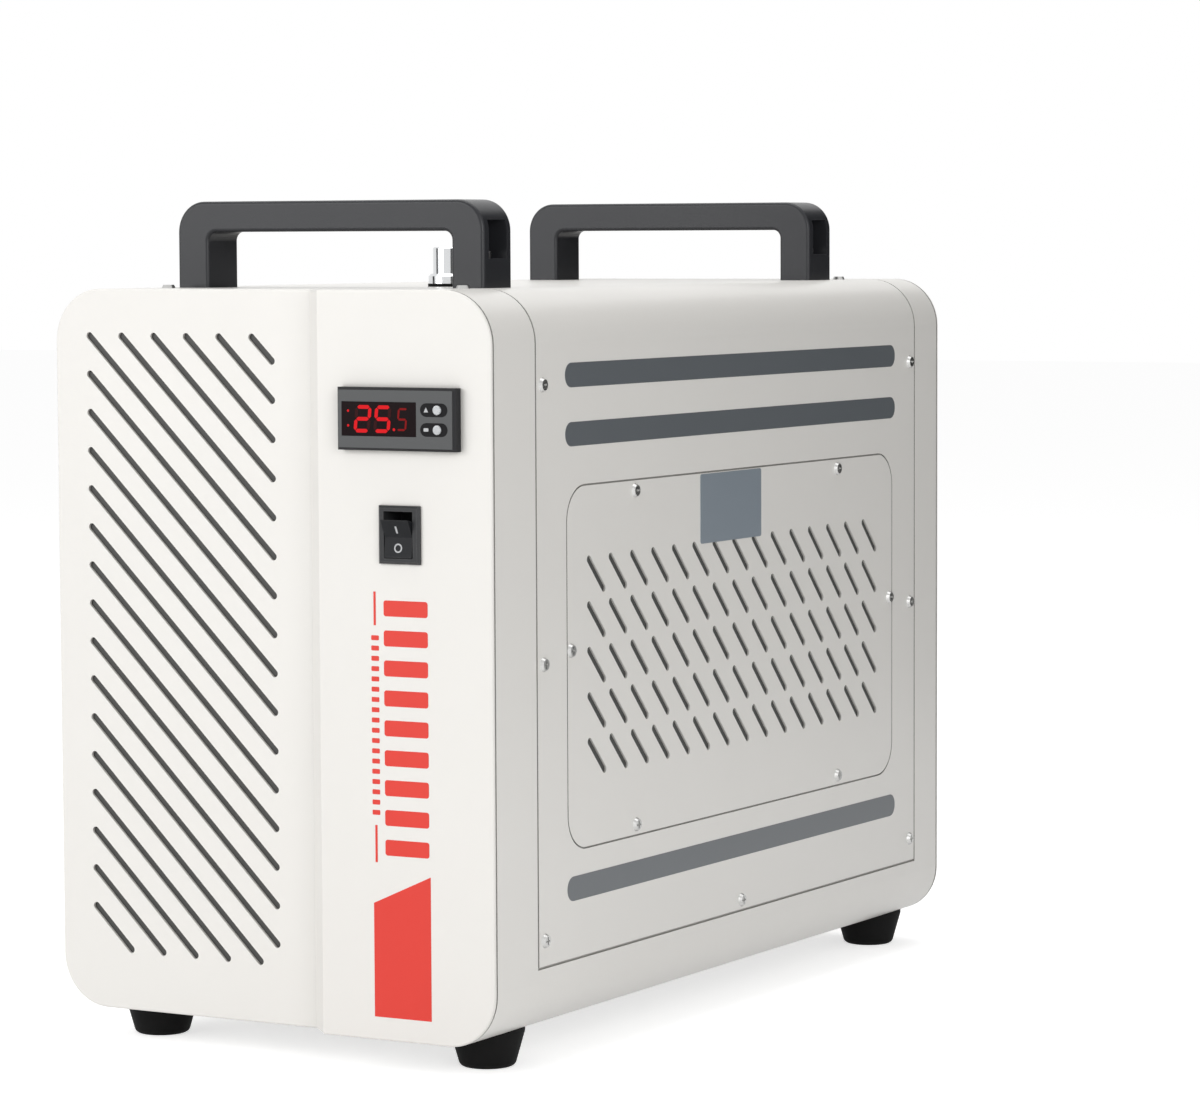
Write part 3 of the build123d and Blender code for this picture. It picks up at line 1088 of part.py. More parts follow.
def discharge_pipe():
    """Hot gas pipe from the compressor's top to the condenser's left header."""
    start = SHEET + GROMMET_HEIGHT + COMPRESSOR_PLATE + COMPRESSOR_HEIGHT + CONDENSER_STUB
    stub_z = condenser_rows()[-1] + 2 * CONDENSER_TUBE_HEIGHT - CONDENSER_PIPE_INSET
    end_y = CONDENSER_Y - CONDENSER_HEADER_RADIUS - CONDENSER_STUB
    points = [(COMPRESSOR_X, COMPRESSOR_Y, start), (COMPRESSOR_X, COMPRESSOR_Y, stub_z),
              (-CONDENSER_HEADER_X, COMPRESSOR_Y, stub_z), (-CONDENSER_HEADER_X, end_y, stub_z)]
    return tube_along(points, DISCHARGE_RADIUS, PIPE_BEND)


def drier_range():
    """Where the filter drier starts and ends along Y."""
    rear = CONDENSER_Y - CONDENSER_HEADER_RADIUS - CONDENSER_STUB - DRIER_GAP
    return rear - DRIER_LENGTH, rear


def drier_height():
    """Height of the filter drier, level with the condenser's outlet."""
    return condenser_rows()[0] - 2 * CONDENSER_TUBE_HEIGHT + CONDENSER_PIPE_INSET


def filter_drier():
    """Copper filter drier with spun ends and the short pipe to the condenser."""
    front, rear = drier_range()
    shape = rod_y(CONDENSER_HEADER_X, drier_height(), DRIER_RADIUS, front, rear)
    shape = fillet(shape.edges().filter_by(GeomType.CIRCLE), DRIER_RADIUS / 2)
    return shape + rod_y(CONDENSER_HEADER_X, drier_height(), LIQUID_RADIUS, rear - SHEET, rear + DRIER_GAP)


def liquid_line():
    """Thin line from the drier up and over into the evaporator."""
    front, rear = drier_range()
    x, z = CONDENSER_HEADER_X, drier_height()
    points = [(x, front, z), (x, front - 2 * PIPE_BEND, z), (x, front - 2 * PIPE_BEND, PIPE_TOP),
              (COIL_RIGHT, COIL_REAR - COIL_BEND * 2, PIPE_TOP), (COIL_RIGHT, COIL_REAR - COIL_BEND * 2, COIL_EXIT)]
    return tube_along(points, LIQUID_RADIUS, LIQUID_BEND)


def suction_pipe():
    """Return gas pipe from the evaporator to the compressor's accumulator."""
    x, y = (COIL_LEFT + COIL_RIGHT) / 2, (COIL_FRONT + COIL_REAR) / 2
    end = ACCUMULATOR_BASE + ACCUMULATOR_HEIGHT + CONDENSER_STUB
    points = [(x, y, COIL_EXIT), (x, y, PIPE_TOP), (ACCUMULATOR_X, y, PIPE_TOP),
              (ACCUMULATOR_X, ACCUMULATOR_Y, PIPE_TOP), (ACCUMULATOR_X, ACCUMULATOR_Y, end)]
    return tube_along(points, SUCTION_RADIUS, SUCTION_BEND)


def evaporator_coil():
    """Evaporator tube wound down inside the tank and brought back up through its middle."""
    corners = [(COIL_RIGHT, COIL_FRONT), (COIL_LEFT, COIL_FRONT), (COIL_LEFT, COIL_REAR), (COIL_RIGHT, COIL_REAR)]
    points = [(COIL_RIGHT, COIL_REAR - COIL_BEND * 2, COIL_EXIT), (COIL_RIGHT, COIL_REAR - COIL_BEND * 2, COIL_TOP)]
    for i in range(4 * COIL_TURNS - 1):
        x, y = corners[i % 4]
        points.append((x, y, COIL_TOP - (i + 1) * COIL_PITCH / 4))
    middle = ((COIL_LEFT + COIL_RIGHT) / 2, (COIL_FRONT + COIL_REAR) / 2)
    low = points[-1][2]
    points += [(middle[0], COIL_REAR, low), (middle[0], middle[1], low), (middle[0], middle[1], COIL_EXIT)]
    return tube_along(points, SUCTION_RADIUS, COIL_BEND)


def spigot_up(x, y, radius):
    """An open spigot that stands on the tank's top."""
    return rod_z(x, y, radius, TANK_TOP - TANK_WALL, TANK_TOP + SPIGOT_LENGTH)


def water_tank():
    """Moulded tank with spigots for the filler, return, pump, drain and gauge hoses."""
    width, length = TANK_RIGHT - TANK_LEFT, TANK_REAR - TANK_FRONT
    centre = Pos((TANK_LEFT + TANK_RIGHT) / 2, (TANK_FRONT + TANK_REAR) / 2)
    outer = along_z(centre * RectangleRounded(width, length, TANK_CORNER), TANK_BASE, TANK_TOP)
    inner = RectangleRounded(width - 2 * TANK_WALL, length - 2 * TANK_WALL, TANK_CORNER - TANK_WALL)
    shape = outer - along_z(centre * inner, TANK_BASE + TANK_WALL, TANK_TOP - TANK_WALL)
    across, along = width - 2 * TANK_SKIRT_INSET, length - 2 * TANK_SKIRT_INSET
    skirt = Rectangle(across, along) - Rectangle(across - 2 * TANK_WALL, along - 2 * TANK_WALL)
    shape += along_z(centre * skirt, SHEET, TANK_BASE)
    bore = PUMP_PORT_RADIUS - SPIGOT_WALL
    shape += spigot_up(FILLER_X, FILLER_Y, FILLER_SPIGOT_RADIUS) + spigot_up(INLET_X, RETURN_Y, PUMP_PORT_RADIUS)
    shape += rod_x(PUMP_Y, PUMP_Z, PUMP_PORT_RADIUS, TANK_LEFT - SPIGOT_LENGTH, TANK_LEFT + TANK_WALL)
    shape += rod_y(DRAIN_X, DRAIN_Z, DRAIN_PORT_RADIUS, TANK_REAR - TANK_WALL, TANK_REAR + SPIGOT_LENGTH)
    for z in (GAUGE_LOW_Z, GAUGE_HIGH_Z):
        shape += rod_y(GAUGE_X, z, GAUGE_HOSE_RADIUS, TANK_REAR - TANK_WALL, TANK_REAR + SPIGOT_LENGTH)
    top = TANK_TOP - 2 * TANK_WALL
    shape -= rod_z(FILLER_X, FILLER_Y, FILLER_BORE_RADIUS, top, TANK_TOP + 2 * SPIGOT_LENGTH)
    shape -= rod_z(INLET_X, RETURN_Y, bore, top, TANK_TOP + 2 * SPIGOT_LENGTH)
    shape -= rod_x(PUMP_Y, PUMP_Z, bore, TANK_LEFT - 2 * SPIGOT_LENGTH, TANK_LEFT + 2 * TANK_WALL)
    shape -= rod_y(DRAIN_X, DRAIN_Z, DRAIN_PORT_RADIUS - SPIGOT_WALL, TANK_REAR - 2 * TANK_WALL,
                   TANK_REAR + 2 * SPIGOT_LENGTH)
    for z in (GAUGE_LOW_Z, GAUGE_HIGH_Z):
        shape -= rod_y(GAUGE_X, z, GAUGE_HOSE_RADIUS / 2, TANK_REAR - 2 * TANK_WALL, TANK_REAR + 2 * SPIGOT_LENGTH)
    hole = SUCTION_RADIUS + COIL_HOLE_CLEARANCE
    shape -= rod_z(COIL_RIGHT, COIL_REAR - COIL_BEND * 2, hole, top, TANK_TOP + SHEET)
    return shape - rod_z((COIL_LEFT + COIL_RIGHT) / 2, (COIL_FRONT + COIL_REAR) / 2, hole, top, TANK_TOP + SHEET)


def hose_ring(radius):
    """Section of a hose pushed over a spigot of the given radius."""
    return Circle(radius + HOSE_CLEARANCE + HOSE_WALL) - Circle(radius + HOSE_CLEARANCE)


def filler_hose():
    """Hose from the filler neck's tail down to the tank."""
    ring = Pos(FILLER_X, FILLER_Y) * hose_ring(FILLER_SPIGOT_RADIUS)
    return along_z(ring, TANK_TOP + HOSE_CLEARANCE, BODY_HEIGHT - SHEET - FILLER_NUT_HEIGHT - HOSE_CLEARANCE)


def pump_head_range():
    """Where the pump head starts and ends along X."""
    return PUMP_X, PUMP_X + PUMP_HEAD_LENGTH


def pump():
    """Centrifugal pump: volute with its two spigots, finned motor and foot."""
    left, right = pump_head_range()
    motor_left = left - PUMP_MOTOR_LENGTH
    shape = rod_x(PUMP_Y, PUMP_Z, PUMP_HEAD_RADIUS, left, right)
    shape = fillet(shape.faces().sort_by(Axis.X)[-1].edges(), PUMP_HEAD_LENGTH / 4)
    shape += rod_x(PUMP_Y, PUMP_Z, PUMP_PORT_RADIUS, right - SHEET, right + SPIGOT_LENGTH)
    shape += rod_z((left + right) / 2, PUMP_Y, PUMP_PORT_RADIUS, PUMP_Z, PUMP_Z + PUMP_HEAD_RADIUS + SPIGOT_LENGTH)
    core = PUMP_MOTOR_RADIUS - PUMP_FIN_HEIGHT
    section = Circle(core)
    for i in range(PUMP_FINS):
        section += Rot(0, 0, i * 360 / PUMP_FINS) * Pos(core, 0) * Rectangle(2 * PUMP_FIN_HEIGHT, PUMP_FIN_SHEET)
    shape += along_x(Pos(PUMP_Y, PUMP_Z) * section, motor_left + PUMP_END_LENGTH, left)
    shape += rod_x(PUMP_Y, PUMP_Z, PUMP_MOTOR_RADIUS, motor_left, motor_left + PUMP_END_LENGTH)
    half = PUMP_FOOT_WIDTH / 2
    base = (motor_left + PUMP_FOOT_INSET, left)
    shape += block(base, (PUMP_Y - half, PUMP_Y + half), (SHEET, SHEET + PUMP_FOOT_SHEET))
    return shape + block(base, (PUMP_Y - half / 2, PUMP_Y + half / 2), (SHEET, PUMP_Z))


def pump_hose():
    """Short hose from the tank to the pump's suction spigot."""
    right = pump_head_range()[1] + HOSE_CLEARANCE
    return along_x(Pos(PUMP_Y, PUMP_Z) * hose_ring(PUMP_PORT_RADIUS), right, TANK_LEFT - HOSE_CLEARANCE)


def outlet_hose():
    """Hose from the pump's discharge back to the outlet fitting."""
    x = sum(pump_head_range()) / 2
    rear = BODY_DEPTH - PANEL_SHEET - FITTING_HEX_HEIGHT - HOSE_CLEARANCE
    turn = TANK_REAR + HOSE_RUN_GAP
    across, back, down = HOSE_DROP
    points = [(x, PUMP_Y, PUMP_Z + PUMP_HEAD_RADIUS + HOSE_CLEARANCE), (x, PUMP_Y, HOSE_RUN_Z),
              (HOSE_RUN_X, PUMP_Y + back, HOSE_RUN_Z), (HOSE_RUN_X, turn, HOSE_RUN_Z),
              (OUTLET_X - across, turn, HOSE_RUN_Z - down), (OUTLET_X, turn + back, FITTING_Z),
              (OUTLET_X, rear, FITTING_Z)]
    return tube_along(points, HOSE_RADIUS, HOSE_BEND, PUMP_PORT_RADIUS + HOSE_CLEARANCE)


def return_hose():
    """Hose from the inlet fitting up to the tank's return spigot."""
    rear = BODY_DEPTH - PANEL_SHEET - FITTING_HEX_HEIGHT - HOSE_CLEARANCE
    bend_y = ACCUMULATOR_Y + ACCUMULATOR_RADIUS + 3 * PUMP_PORT_RADIUS
    top = PIPE_TOP - 2 * HOSE_RADIUS
    points = [(INLET_X, rear, FITTING_Z), (INLET_X, bend_y, FITTING_Z), (INLET_X, bend_y, top),
              (INLET_X, RETURN_Y, top), (INLET_X, RETURN_Y, TANK_TOP + HOSE_CLEARANCE)]
    return tube_along(points, HOSE_RADIUS, HOSE_BEND, PUMP_PORT_RADIUS + HOSE_CLEARANCE)


def hose_fitting(x):
    """Brass hose fitting through the rear panel: barb and hexagon outside, nut and spigot inside."""
    start = BODY_DEPTH + FITTING_HEX_HEIGHT
    end = BODY_DEPTH + REAR_PROJECTION
    ridge = (end - start) / BARB_RIDGES
    profile = [(BARB_BORE_RADIUS, start), (BARB_RADIUS, start)]
    for i in range(BARB_RIDGES):
        foot_y = start + i * ridge
        profile += [(BARB_RADIUS + BARB_RIDGE, foot_y + ridge * BARB_RAMP), (BARB_RADIUS, foot_y + ridge)]
    profile += [(BARB_BORE_RADIUS, end)]
    barb = revolve(Plane.XY * Polygon(*profile, align=None), Axis.Y)
    hexagon = RegularPolygon(FITTING_HEX / 2, 6, major_radius=False) - Circle(BARB_BORE_RADIUS)
    shape = barb + along_y(hexagon, BODY_DEPTH, start)
    inner = REAR_INSIDE - FITTING_HEX_HEIGHT
    shape += along_y(hexagon, inner, REAR_INSIDE)
    shape += along_y(Circle(FITTING_THREAD_RADIUS) - Circle(BARB_BORE_RADIUS), REAR_INSIDE, BODY_DEPTH)
    shape += along_y(Circle(PUMP_PORT_RADIUS) - Circle(BARB_BORE_RADIUS), inner - SPIGOT_LENGTH, inner)
    return Pos(x, 0, FITTING_Z) * shape


def drain_pipe():
    """Drain pipe from the tank's lowest spigot out through the rear panel, with a flange and a capped spigot."""
    inner = REAR_INSIDE - FITTING_HEX_HEIGHT
    outer = BODY_DEPTH + DRAIN_CAP_HEIGHT - 2 * FILLER_CAP_WALL
    bore = Circle(DRAIN_PORT_RADIUS - DRAIN_WALL)
    shape = along_y(Circle(DRAIN_PORT_RADIUS) - bore, inner, outer)
    shape += along_y(Circle(DRAIN_CAP_RADIUS) - bore, inner, REAR_INSIDE)
    shape += along_y(hose_ring(DRAIN_PORT_RADIUS), TANK_REAR + HOSE_CLEARANCE, inner)
    return Pos(DRAIN_X, 0, DRAIN_Z) * shape


def drain_cap():
    """Ribbed screw cap on the drain port."""
    start = BODY_DEPTH + CAP_CLEARANCE
    grip = Circle(DRAIN_CAP_RADIUS)
    for i in range(DRAIN_CAP_GRIPS):
        grip -= Rot(0, 0, i * 360 / DRAIN_CAP_GRIPS) * Pos(DRAIN_CAP_RADIUS + DRAIN_GRIP_RADIUS / 2, 0) * Circle(
            DRAIN_GRIP_RADIUS)
    shape = along_y(grip, start, BODY_DEPTH + DRAIN_CAP_HEIGHT)
    shape -= rod_y(0, 0, DRAIN_PORT_RADIUS + CAP_CLEARANCE, BODY_DEPTH,
                   BODY_DEPTH + DRAIN_CAP_HEIGHT - FILLER_CAP_WALL)
    return Pos(DRAIN_X, 0, DRAIN_Z) * shape


def level_gauge():
    """Sight tube between two blocks on the rear panel."""
    tube_y = BODY_DEPTH + GAUGE_PROUD / 2
    shape = rod_z(GAUGE_X, tube_y, GAUGE_TUBE_RADIUS, GAUGE_LOW_Z, GAUGE_HIGH_Z)
    for z in (GAUGE_LOW_Z, GAUGE_HIGH_Z):
        end = Pos(GAUGE_X, z) * RectangleRounded(GAUGE_BLOCK, GAUGE_BLOCK, GAUGE_BLOCK / 6)
        shape += along_y(end, BODY_DEPTH, BODY_DEPTH + GAUGE_PROUD)
        shape += rod_y(GAUGE_X, z, GAUGE_HOSE_RADIUS, REAR_INSIDE - SPIGOT_LENGTH, BODY_DEPTH)
    return shape


def gauge_hoses():
    """Two straight hoses between the tank and the level gauge."""
    hoses = []
    for z in (GAUGE_LOW_Z, GAUGE_HIGH_Z):
        bore = GAUGE_HOSE_RADIUS + HOSE_CLEARANCE
        ring = Circle(bore + GAUGE_HOSE_WALL) - Circle(bore)
        hoses.append(along_y(Pos(GAUGE_X, z) * ring, TANK_REAR + HOSE_CLEARANCE, REAR_INSIDE - HOSE_CLEARANCE))
    return Compound(children=hoses)


def mains_centres():
    """Heights of the socket and of the fuse drawer in the mains inlet."""
    return MAINS_Z - FUSE_HEIGHT, MAINS_Z + SOCKET_HEIGHT - FUSE_HEIGHT / 4


def mains_inlet():
    """Mains inlet moulding: flange, socket with three prongs, and the well for the fuse drawer."""
    socket_z, fuse_z = mains_centres()
    outer = BODY_DEPTH + MAINS_PROUD
    flange = Pos(MAINS_X, MAINS_Z) * RectangleRounded(MAINS_WIDTH, MAINS_HEIGHT, MAINS_PROUD)
    shape = along_y(flange, BODY_DEPTH, outer)
    body = Pos(MAINS_X, MAINS_Z) * Rectangle(MAINS_BODY_WIDTH, MAINS_BODY_HEIGHT)
    shape += along_y(body, BODY_DEPTH - MAINS_BODY_DEPTH, BODY_DEPTH)
    half_width, half_height = SOCKET_WIDTH / 2, SOCKET_HEIGHT / 2
    socket = Polygon((-half_width, -half_height), (half_width, -half_height),
                     (half_width, half_height - SOCKET_CHAMFER), (half_width - SOCKET_CHAMFER, half_height),
                     (SOCKET_CHAMFER - half_width, half_height), (-half_width, half_height - SOCKET_CHAMFER),
                     align=None)
    shape -= along_y(Pos(MAINS_X, socket_z) * socket, outer - SOCKET_DEPTH, outer + SHEET)
    for a, rise in ((-1, -PRONG_RISE), (0, PRONG_RISE), (1, -PRONG_RISE)):
        x = MAINS_X + a * PRONG_SPACING
        prong = Pos(x, socket_z + rise) * Rectangle(PRONG_THICKNESS, PRONG_WIDTH)
        shape += along_y(prong, outer - SOCKET_DEPTH, outer - SOCKET_DEPTH + PRONG_LENGTH)
    well = Rectangle(FUSE_WIDTH + 2 * FUSE_CLEARANCE, FUSE_HEIGHT + 2 * FUSE_CLEARANCE)
    return shape - along_y(Pos(MAINS_X, fuse_z) * well, outer - FUSE_DEPTH - FUSE_CLEARANCE, outer + SHEET)


def fuse_drawer():
    """Fuse drawer that pulls out of the mains inlet, with a finger notch."""
    fuse_z = mains_centres()[1]
    outer = BODY_DEPTH + MAINS_PROUD
    shape = along_y(Pos(MAINS_X, fuse_z) * Rectangle(FUSE_WIDTH, FUSE_HEIGHT), outer - FUSE_DEPTH, outer + FUSE_PROUD)
    notch = Pos(MAINS_X, fuse_z + FUSE_HEIGHT / 2) * Rectangle(FUSE_WIDTH / 3, FUSE_HEIGHT / 3)
    return shape - along_y(notch, outer, outer + 2 * FUSE_PROUD)


def alarm_socket():
    """Round threaded socket for the alarm line, with its flange and nut."""
    outer = BODY_DEPTH + ALARM_PROUD
    shape = along_y(RegularPolygon(ALARM_HEX_RADIUS, 6), BODY_DEPTH, BODY_DEPTH + MAINS_PROUD)
    shape += along_y(Circle(ALARM_BODY_RADIUS), REAR_INSIDE - SPIGOT_LENGTH, outer)
    shape += along_y(RegularPolygon(ALARM_HEX_RADIUS, 6), REAR_INSIDE - MAINS_PROUD, REAR_INSIDE)
    shape -= along_y(Circle(ALARM_BODY_RADIUS - ALARM_WALL), outer - 2 * MAINS_PROUD, outer + SHEET)
    for a in (-1, 1):
        shape += rod_y(a * ALARM_PIN_SPACING / 2, 0, ALARM_PIN_RADIUS, outer - 2 * MAINS_PROUD - SHEET, outer - SHEET)
    return Pos(ALARM_X, 0, ALARM_Z) * shape


def electrics_tray():
    """Bent sheet bench over the pump that carries the electrics, with a foot at each end."""
    top = block((TRAY_LEFT, TRAY_RIGHT), (TRAY_FRONT, TRAY_REAR), (TRAY_HEIGHT - SHEET, TRAY_HEIGHT))
    legs = (TRAY_LEG_LEFT, TRAY_RIGHT - TRAY_FOOT)
    for y, inner in ((TRAY_FRONT, TRAY_FRONT + TRAY_FOOT), (TRAY_REAR, TRAY_REAR - TRAY_FOOT)):
        sheet_y = sorted((y, y + math.copysign(SHEET, inner - y)))
        top += block(legs, sheet_y, (SHEET, TRAY_HEIGHT))
        top += block(legs, sorted((y, inner)), (SHEET, 2 * SHEET))
    return top


def relay_box():
    """Closed moulded box for the relays and terminals, with a row of cable entries."""
    x, y = (TRAY_LEFT + TRAY_RIGHT) / 2, (TRAY_FRONT + TRAY_REAR) / 2
    shape = Pos(x, y, TRAY_HEIGHT + RELAY_HEIGHT / 2) * Box(RELAY_WIDTH, RELAY_LENGTH, RELAY_HEIGHT)
    shape = fillet(shape.edges().filter_by(Axis.Z), RELAY_CORNER)
    side = x + RELAY_WIDTH / 2
    for i in range(RELAY_ENTRIES):
        entry = y + (i + 0.5 - RELAY_ENTRIES / 2) * RELAY_LENGTH / RELAY_ENTRIES
        shape += rod_x(entry, TRAY_HEIGHT + RELAY_HEIGHT / 4, RELAY_ENTRY_RADIUS, side, side + RELAY_ENTRY_LENGTH)
    return shape


def sub_parts():
    """Every node's name with its solid."""
    parts = {
        "chassis": chassis(),
        "front_panel": front_panel(),
        "rear_panel": rear_panel(),
        "top_cover": top_cover(),
        "front_filter": front_filter(),
        "casing_screws": casing_screws(),
        "vent_panel_screws": vent_panel_screws(),
        "handle_front": handle(HANDLE_FRONT_Y),
        "handle_rear": handle(HANDLE_REAR_Y),
        "handle_bolts": handle_bolts(),
        "filler_neck": filler_neck(),
        "filler_gasket": filler_gasket(),
        "filler_cap": filler_cap(),
        "foot_bolts": foot_bolts(),
        "controller_case": controller_case(),
        "controller_film": controller_film(),
        "display_window": display_window(),
        "switch_housing": switch_housing(),
        "switch_rocker": switch_rocker(),
        "fan_guard": fan_guard(),
        "fan_shroud": fan_shroud(),
        "motor_bracket": motor_bracket(),
        "fan_motor": fan_motor(),
        "fan_rotor": fan_rotor(),
        "condenser": condenser(),
        "compressor": compressor(),
        "compressor_mounts": compressor_mounts(),
        "compressor_bolts": compressor_bolts(),
        "discharge_pipe": discharge_pipe(),
        "filter_drier": filter_drier(),
        "liquid_line": liquid_line(),
        "suction_pipe": suction_pipe(),
        "evaporator_coil": evaporator_coil(),
        "water_tank": water_tank(),
        "filler_hose": filler_hose(),
        "pump": pump(),
        "pump_hose": pump_hose(),
        "outlet_hose": outlet_hose(),
        "return_hose": return_hose(),
        "outlet_fitting": hose_fitting(OUTLET_X),
        "inlet_fitting": hose_fitting(INLET_X),
        "drain_pipe": drain_pipe(),
        "drain_cap": drain_cap(),
        "level_gauge": level_gauge(),
        "gauge_hoses": gauge_hoses(),
        "mains_inlet": mains_inlet(),
        "fuse_drawer": fuse_drawer(),
        "alarm_socket": alarm_socket(),
        "electrics_tray": electrics_tray(),
        "relay_box": relay_box(),
    }
    for name, side in (("right", 1), ("left", -1)):
        parts["vent_panel_" + name] = vent_panel(side)
        parts["vent_filter_" + name] = vent_filter(side)
    for name, (x, z) in zip(("set", "up"), button_places()):
        parts["button_" + name] = controller_button(x, z)
    names = ("front_left", "front_right", "rear_left", "rear_right")
    for name, (x, y) in zip(names, foot_places()):
        parts["foot_" + name] = foot(x, y)
    return parts


def export_all():
    """Move every piece to the object's own origin and write it."""
    os.makedirs("parts", exist_ok=True)
    front_y = FRONT_PROJECTION - OBJECT_LENGTH / 2
    for name, solid in sub_parts().items():
        export_step(Pos(0, front_y, FOOT_HEIGHT) * solid, f"parts/{name}.step")


export_all()
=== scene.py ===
# %% [markdown]
# # A recirculating chiller, finished for the studio
#
# The machine is a painted steel box on four rubber feet, with carrying handles, a thermostat and a rocker
# switch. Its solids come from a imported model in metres. This lesson gives every solid a finish, adds the
# thin things that a drawing leaves out, such as print and lit digits, and sets up the light and the camera.

# %% Load the solids
import math

import bpy
import bmesh
from mathutils import Matrix, Vector


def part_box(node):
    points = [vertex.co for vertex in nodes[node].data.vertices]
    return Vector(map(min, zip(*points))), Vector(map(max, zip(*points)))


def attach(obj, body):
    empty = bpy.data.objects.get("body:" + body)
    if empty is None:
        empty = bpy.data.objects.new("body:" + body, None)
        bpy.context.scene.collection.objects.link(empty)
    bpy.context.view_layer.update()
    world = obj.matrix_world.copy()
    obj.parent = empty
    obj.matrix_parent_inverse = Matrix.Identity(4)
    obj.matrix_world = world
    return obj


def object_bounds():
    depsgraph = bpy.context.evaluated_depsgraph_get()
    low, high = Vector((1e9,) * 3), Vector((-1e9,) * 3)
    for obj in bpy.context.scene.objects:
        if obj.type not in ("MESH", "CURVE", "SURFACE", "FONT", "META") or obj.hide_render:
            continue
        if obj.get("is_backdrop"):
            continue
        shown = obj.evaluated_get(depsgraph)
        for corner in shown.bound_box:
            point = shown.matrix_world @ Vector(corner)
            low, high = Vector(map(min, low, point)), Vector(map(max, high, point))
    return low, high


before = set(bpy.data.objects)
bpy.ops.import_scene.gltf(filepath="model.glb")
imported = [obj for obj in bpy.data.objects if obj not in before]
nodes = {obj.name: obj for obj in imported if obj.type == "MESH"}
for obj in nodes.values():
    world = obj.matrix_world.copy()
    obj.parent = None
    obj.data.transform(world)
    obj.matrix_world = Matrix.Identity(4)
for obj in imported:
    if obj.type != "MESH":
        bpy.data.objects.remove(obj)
solid_low, solid_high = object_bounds()
print("solids", len(nodes), "box in mm", [round(1000 * v) for v in solid_high - solid_low])

# %% [markdown]
# ## Places to measure from
#
# The print and the digits have to sit on the right solid, so the wall that carries them is taken from that
# solid's box. Only the rocker, whose faces are tilted, is placed by its axis. Lengths on the object are easier
# to read in millimetres.

# %% Millimetres and the boxes of the solids
MM = 0.001


def box_of(name):
    """Lowest and highest corner of a solid."""
    low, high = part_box(name)
    return Vector(low), Vector(high)


cover_low, cover_high = box_of("top_cover")
front_low = box_of("front_panel")[0]
film_low = box_of("controller_film")[0]
window_low, window_high = box_of("display_window")
vent_high = box_of("vent_panel_right")[1]
print("cover", [round(1000 * v, 1) for v in cover_low], [round(1000 * v, 1) for v in cover_high])

# %% [markdown]
# ## The camera
#
# The photograph was taken from the front right with a long lens, which keeps the upright edges nearly
# parallel. A camera is a matrix: its three axes are the view's right, its up and the way back from the
# object. Building those axes from a heading, a tilt and a small roll is easier to read than Euler angles.

# %% Stand the camera
CAMERA_PLACE = Vector((1.3214, -2.2483, 0.4486))
CAMERA_HEADING = math.radians(29.49)
CAMERA_TILT = math.radians(4.2)
CAMERA_ROLL = math.radians(-0.26)
CAMERA_LENS = 131.74
SENSOR_WIDTH = 36
VIEW_DEPTH = 100

back = Vector((math.sin(CAMERA_HEADING) * math.cos(CAMERA_TILT),
               -math.cos(CAMERA_HEADING) * math.cos(CAMERA_TILT), math.sin(CAMERA_TILT)))
level_right = (-back).cross(Vector((0, 0, 1))).normalized()
level_up = level_right.cross(-back)
right = level_right * math.cos(CAMERA_ROLL) + level_up * math.sin(CAMERA_ROLL)
up = level_up * math.cos(CAMERA_ROLL) - level_right * math.sin(CAMERA_ROLL)

camera = bpy.data.objects.new("camera", bpy.data.cameras.new("camera"))
bpy.context.collection.objects.link(camera)
turn = Matrix((right, up, back)).transposed().to_4x4()
camera.matrix_world = Matrix.Translation(CAMERA_PLACE) @ turn
camera.data.lens = CAMERA_LENS
camera.data.sensor_width = SENSOR_WIDTH
camera.data.sensor_fit = "HORIZONTAL"
camera.data.clip_end = VIEW_DEPTH
bpy.context.scene.camera = camera
print("camera distance", round((CAMERA_PLACE - (solid_low + solid_high) / 2).length, 2), "m")

# %% [markdown]
# ## Shader nodes with less typing
#
# Every finish below is a Principled shader with a few nodes in front of it. Small helpers keep the cells
# short: they add a node, join two sockets, work out a sum, mix two colours, or drive the gloss and the
# relief. One makes a new material whose constant numbers are set on the shader's own sockets, where an
# exporter can read them.

# %% Helpers for materials
def add_node(tree, kind, **values):
    """Adds a shader node; a value named like an input goes to that socket, any other to the node."""
    node = tree.nodes.new(kind)
    for key, value in values.items():
        socket = node.inputs.get(key.replace("_", " "))
        if socket is None:
            setattr(node, key, value)
        else:
            socket.default_value = value
    return node


def join(tree, source, target):
    """Joins an output socket to an input socket."""
    tree.links.new(source, target)


def combine(tree, operation, first, second, **values):
    """The result of a sum on two sockets."""
    node = add_node(tree, "ShaderNodeMath", operation=operation, **values)
    join(tree, first, node.inputs[0])
    join(tree, second, node.inputs[1])
    return node.outputs["Value"]


def mix_colours(tree, base, over, mask):
    """Goes from a base, which is a colour or a socket, to a second colour as the mask rises."""
    node = add_node(tree, "ShaderNodeMix", data_type="RGBA")
    if isinstance(base, tuple):
        node.inputs["A"].default_value = (*base, 1)
    else:
        join(tree, base, node.inputs["A"])
    node.inputs["B"].default_value = (*over, 1)
    join(tree, mask, node.inputs["Factor"])
    return node.outputs["Result"]


def vary_gloss(tree, shader, mask, gloss):
    """Moves the roughness between two values."""
    spread = add_node(tree, "ShaderNodeMapRange", To_Min=gloss[0], To_Max=gloss[1])
    join(tree, mask, spread.inputs["Value"])
    join(tree, spread.outputs["Result"], shader.inputs["Roughness"])


def add_relief(tree, shader, height, strength, bump):
    """Drives the shader's normal by a height; bump is the height in metres."""
    relief = add_node(tree, "ShaderNodeBump", Strength=strength, Distance=bump)
    join(tree, height, relief.inputs["Height"])
    join(tree, relief.outputs["Normal"], shader.inputs["Normal"])


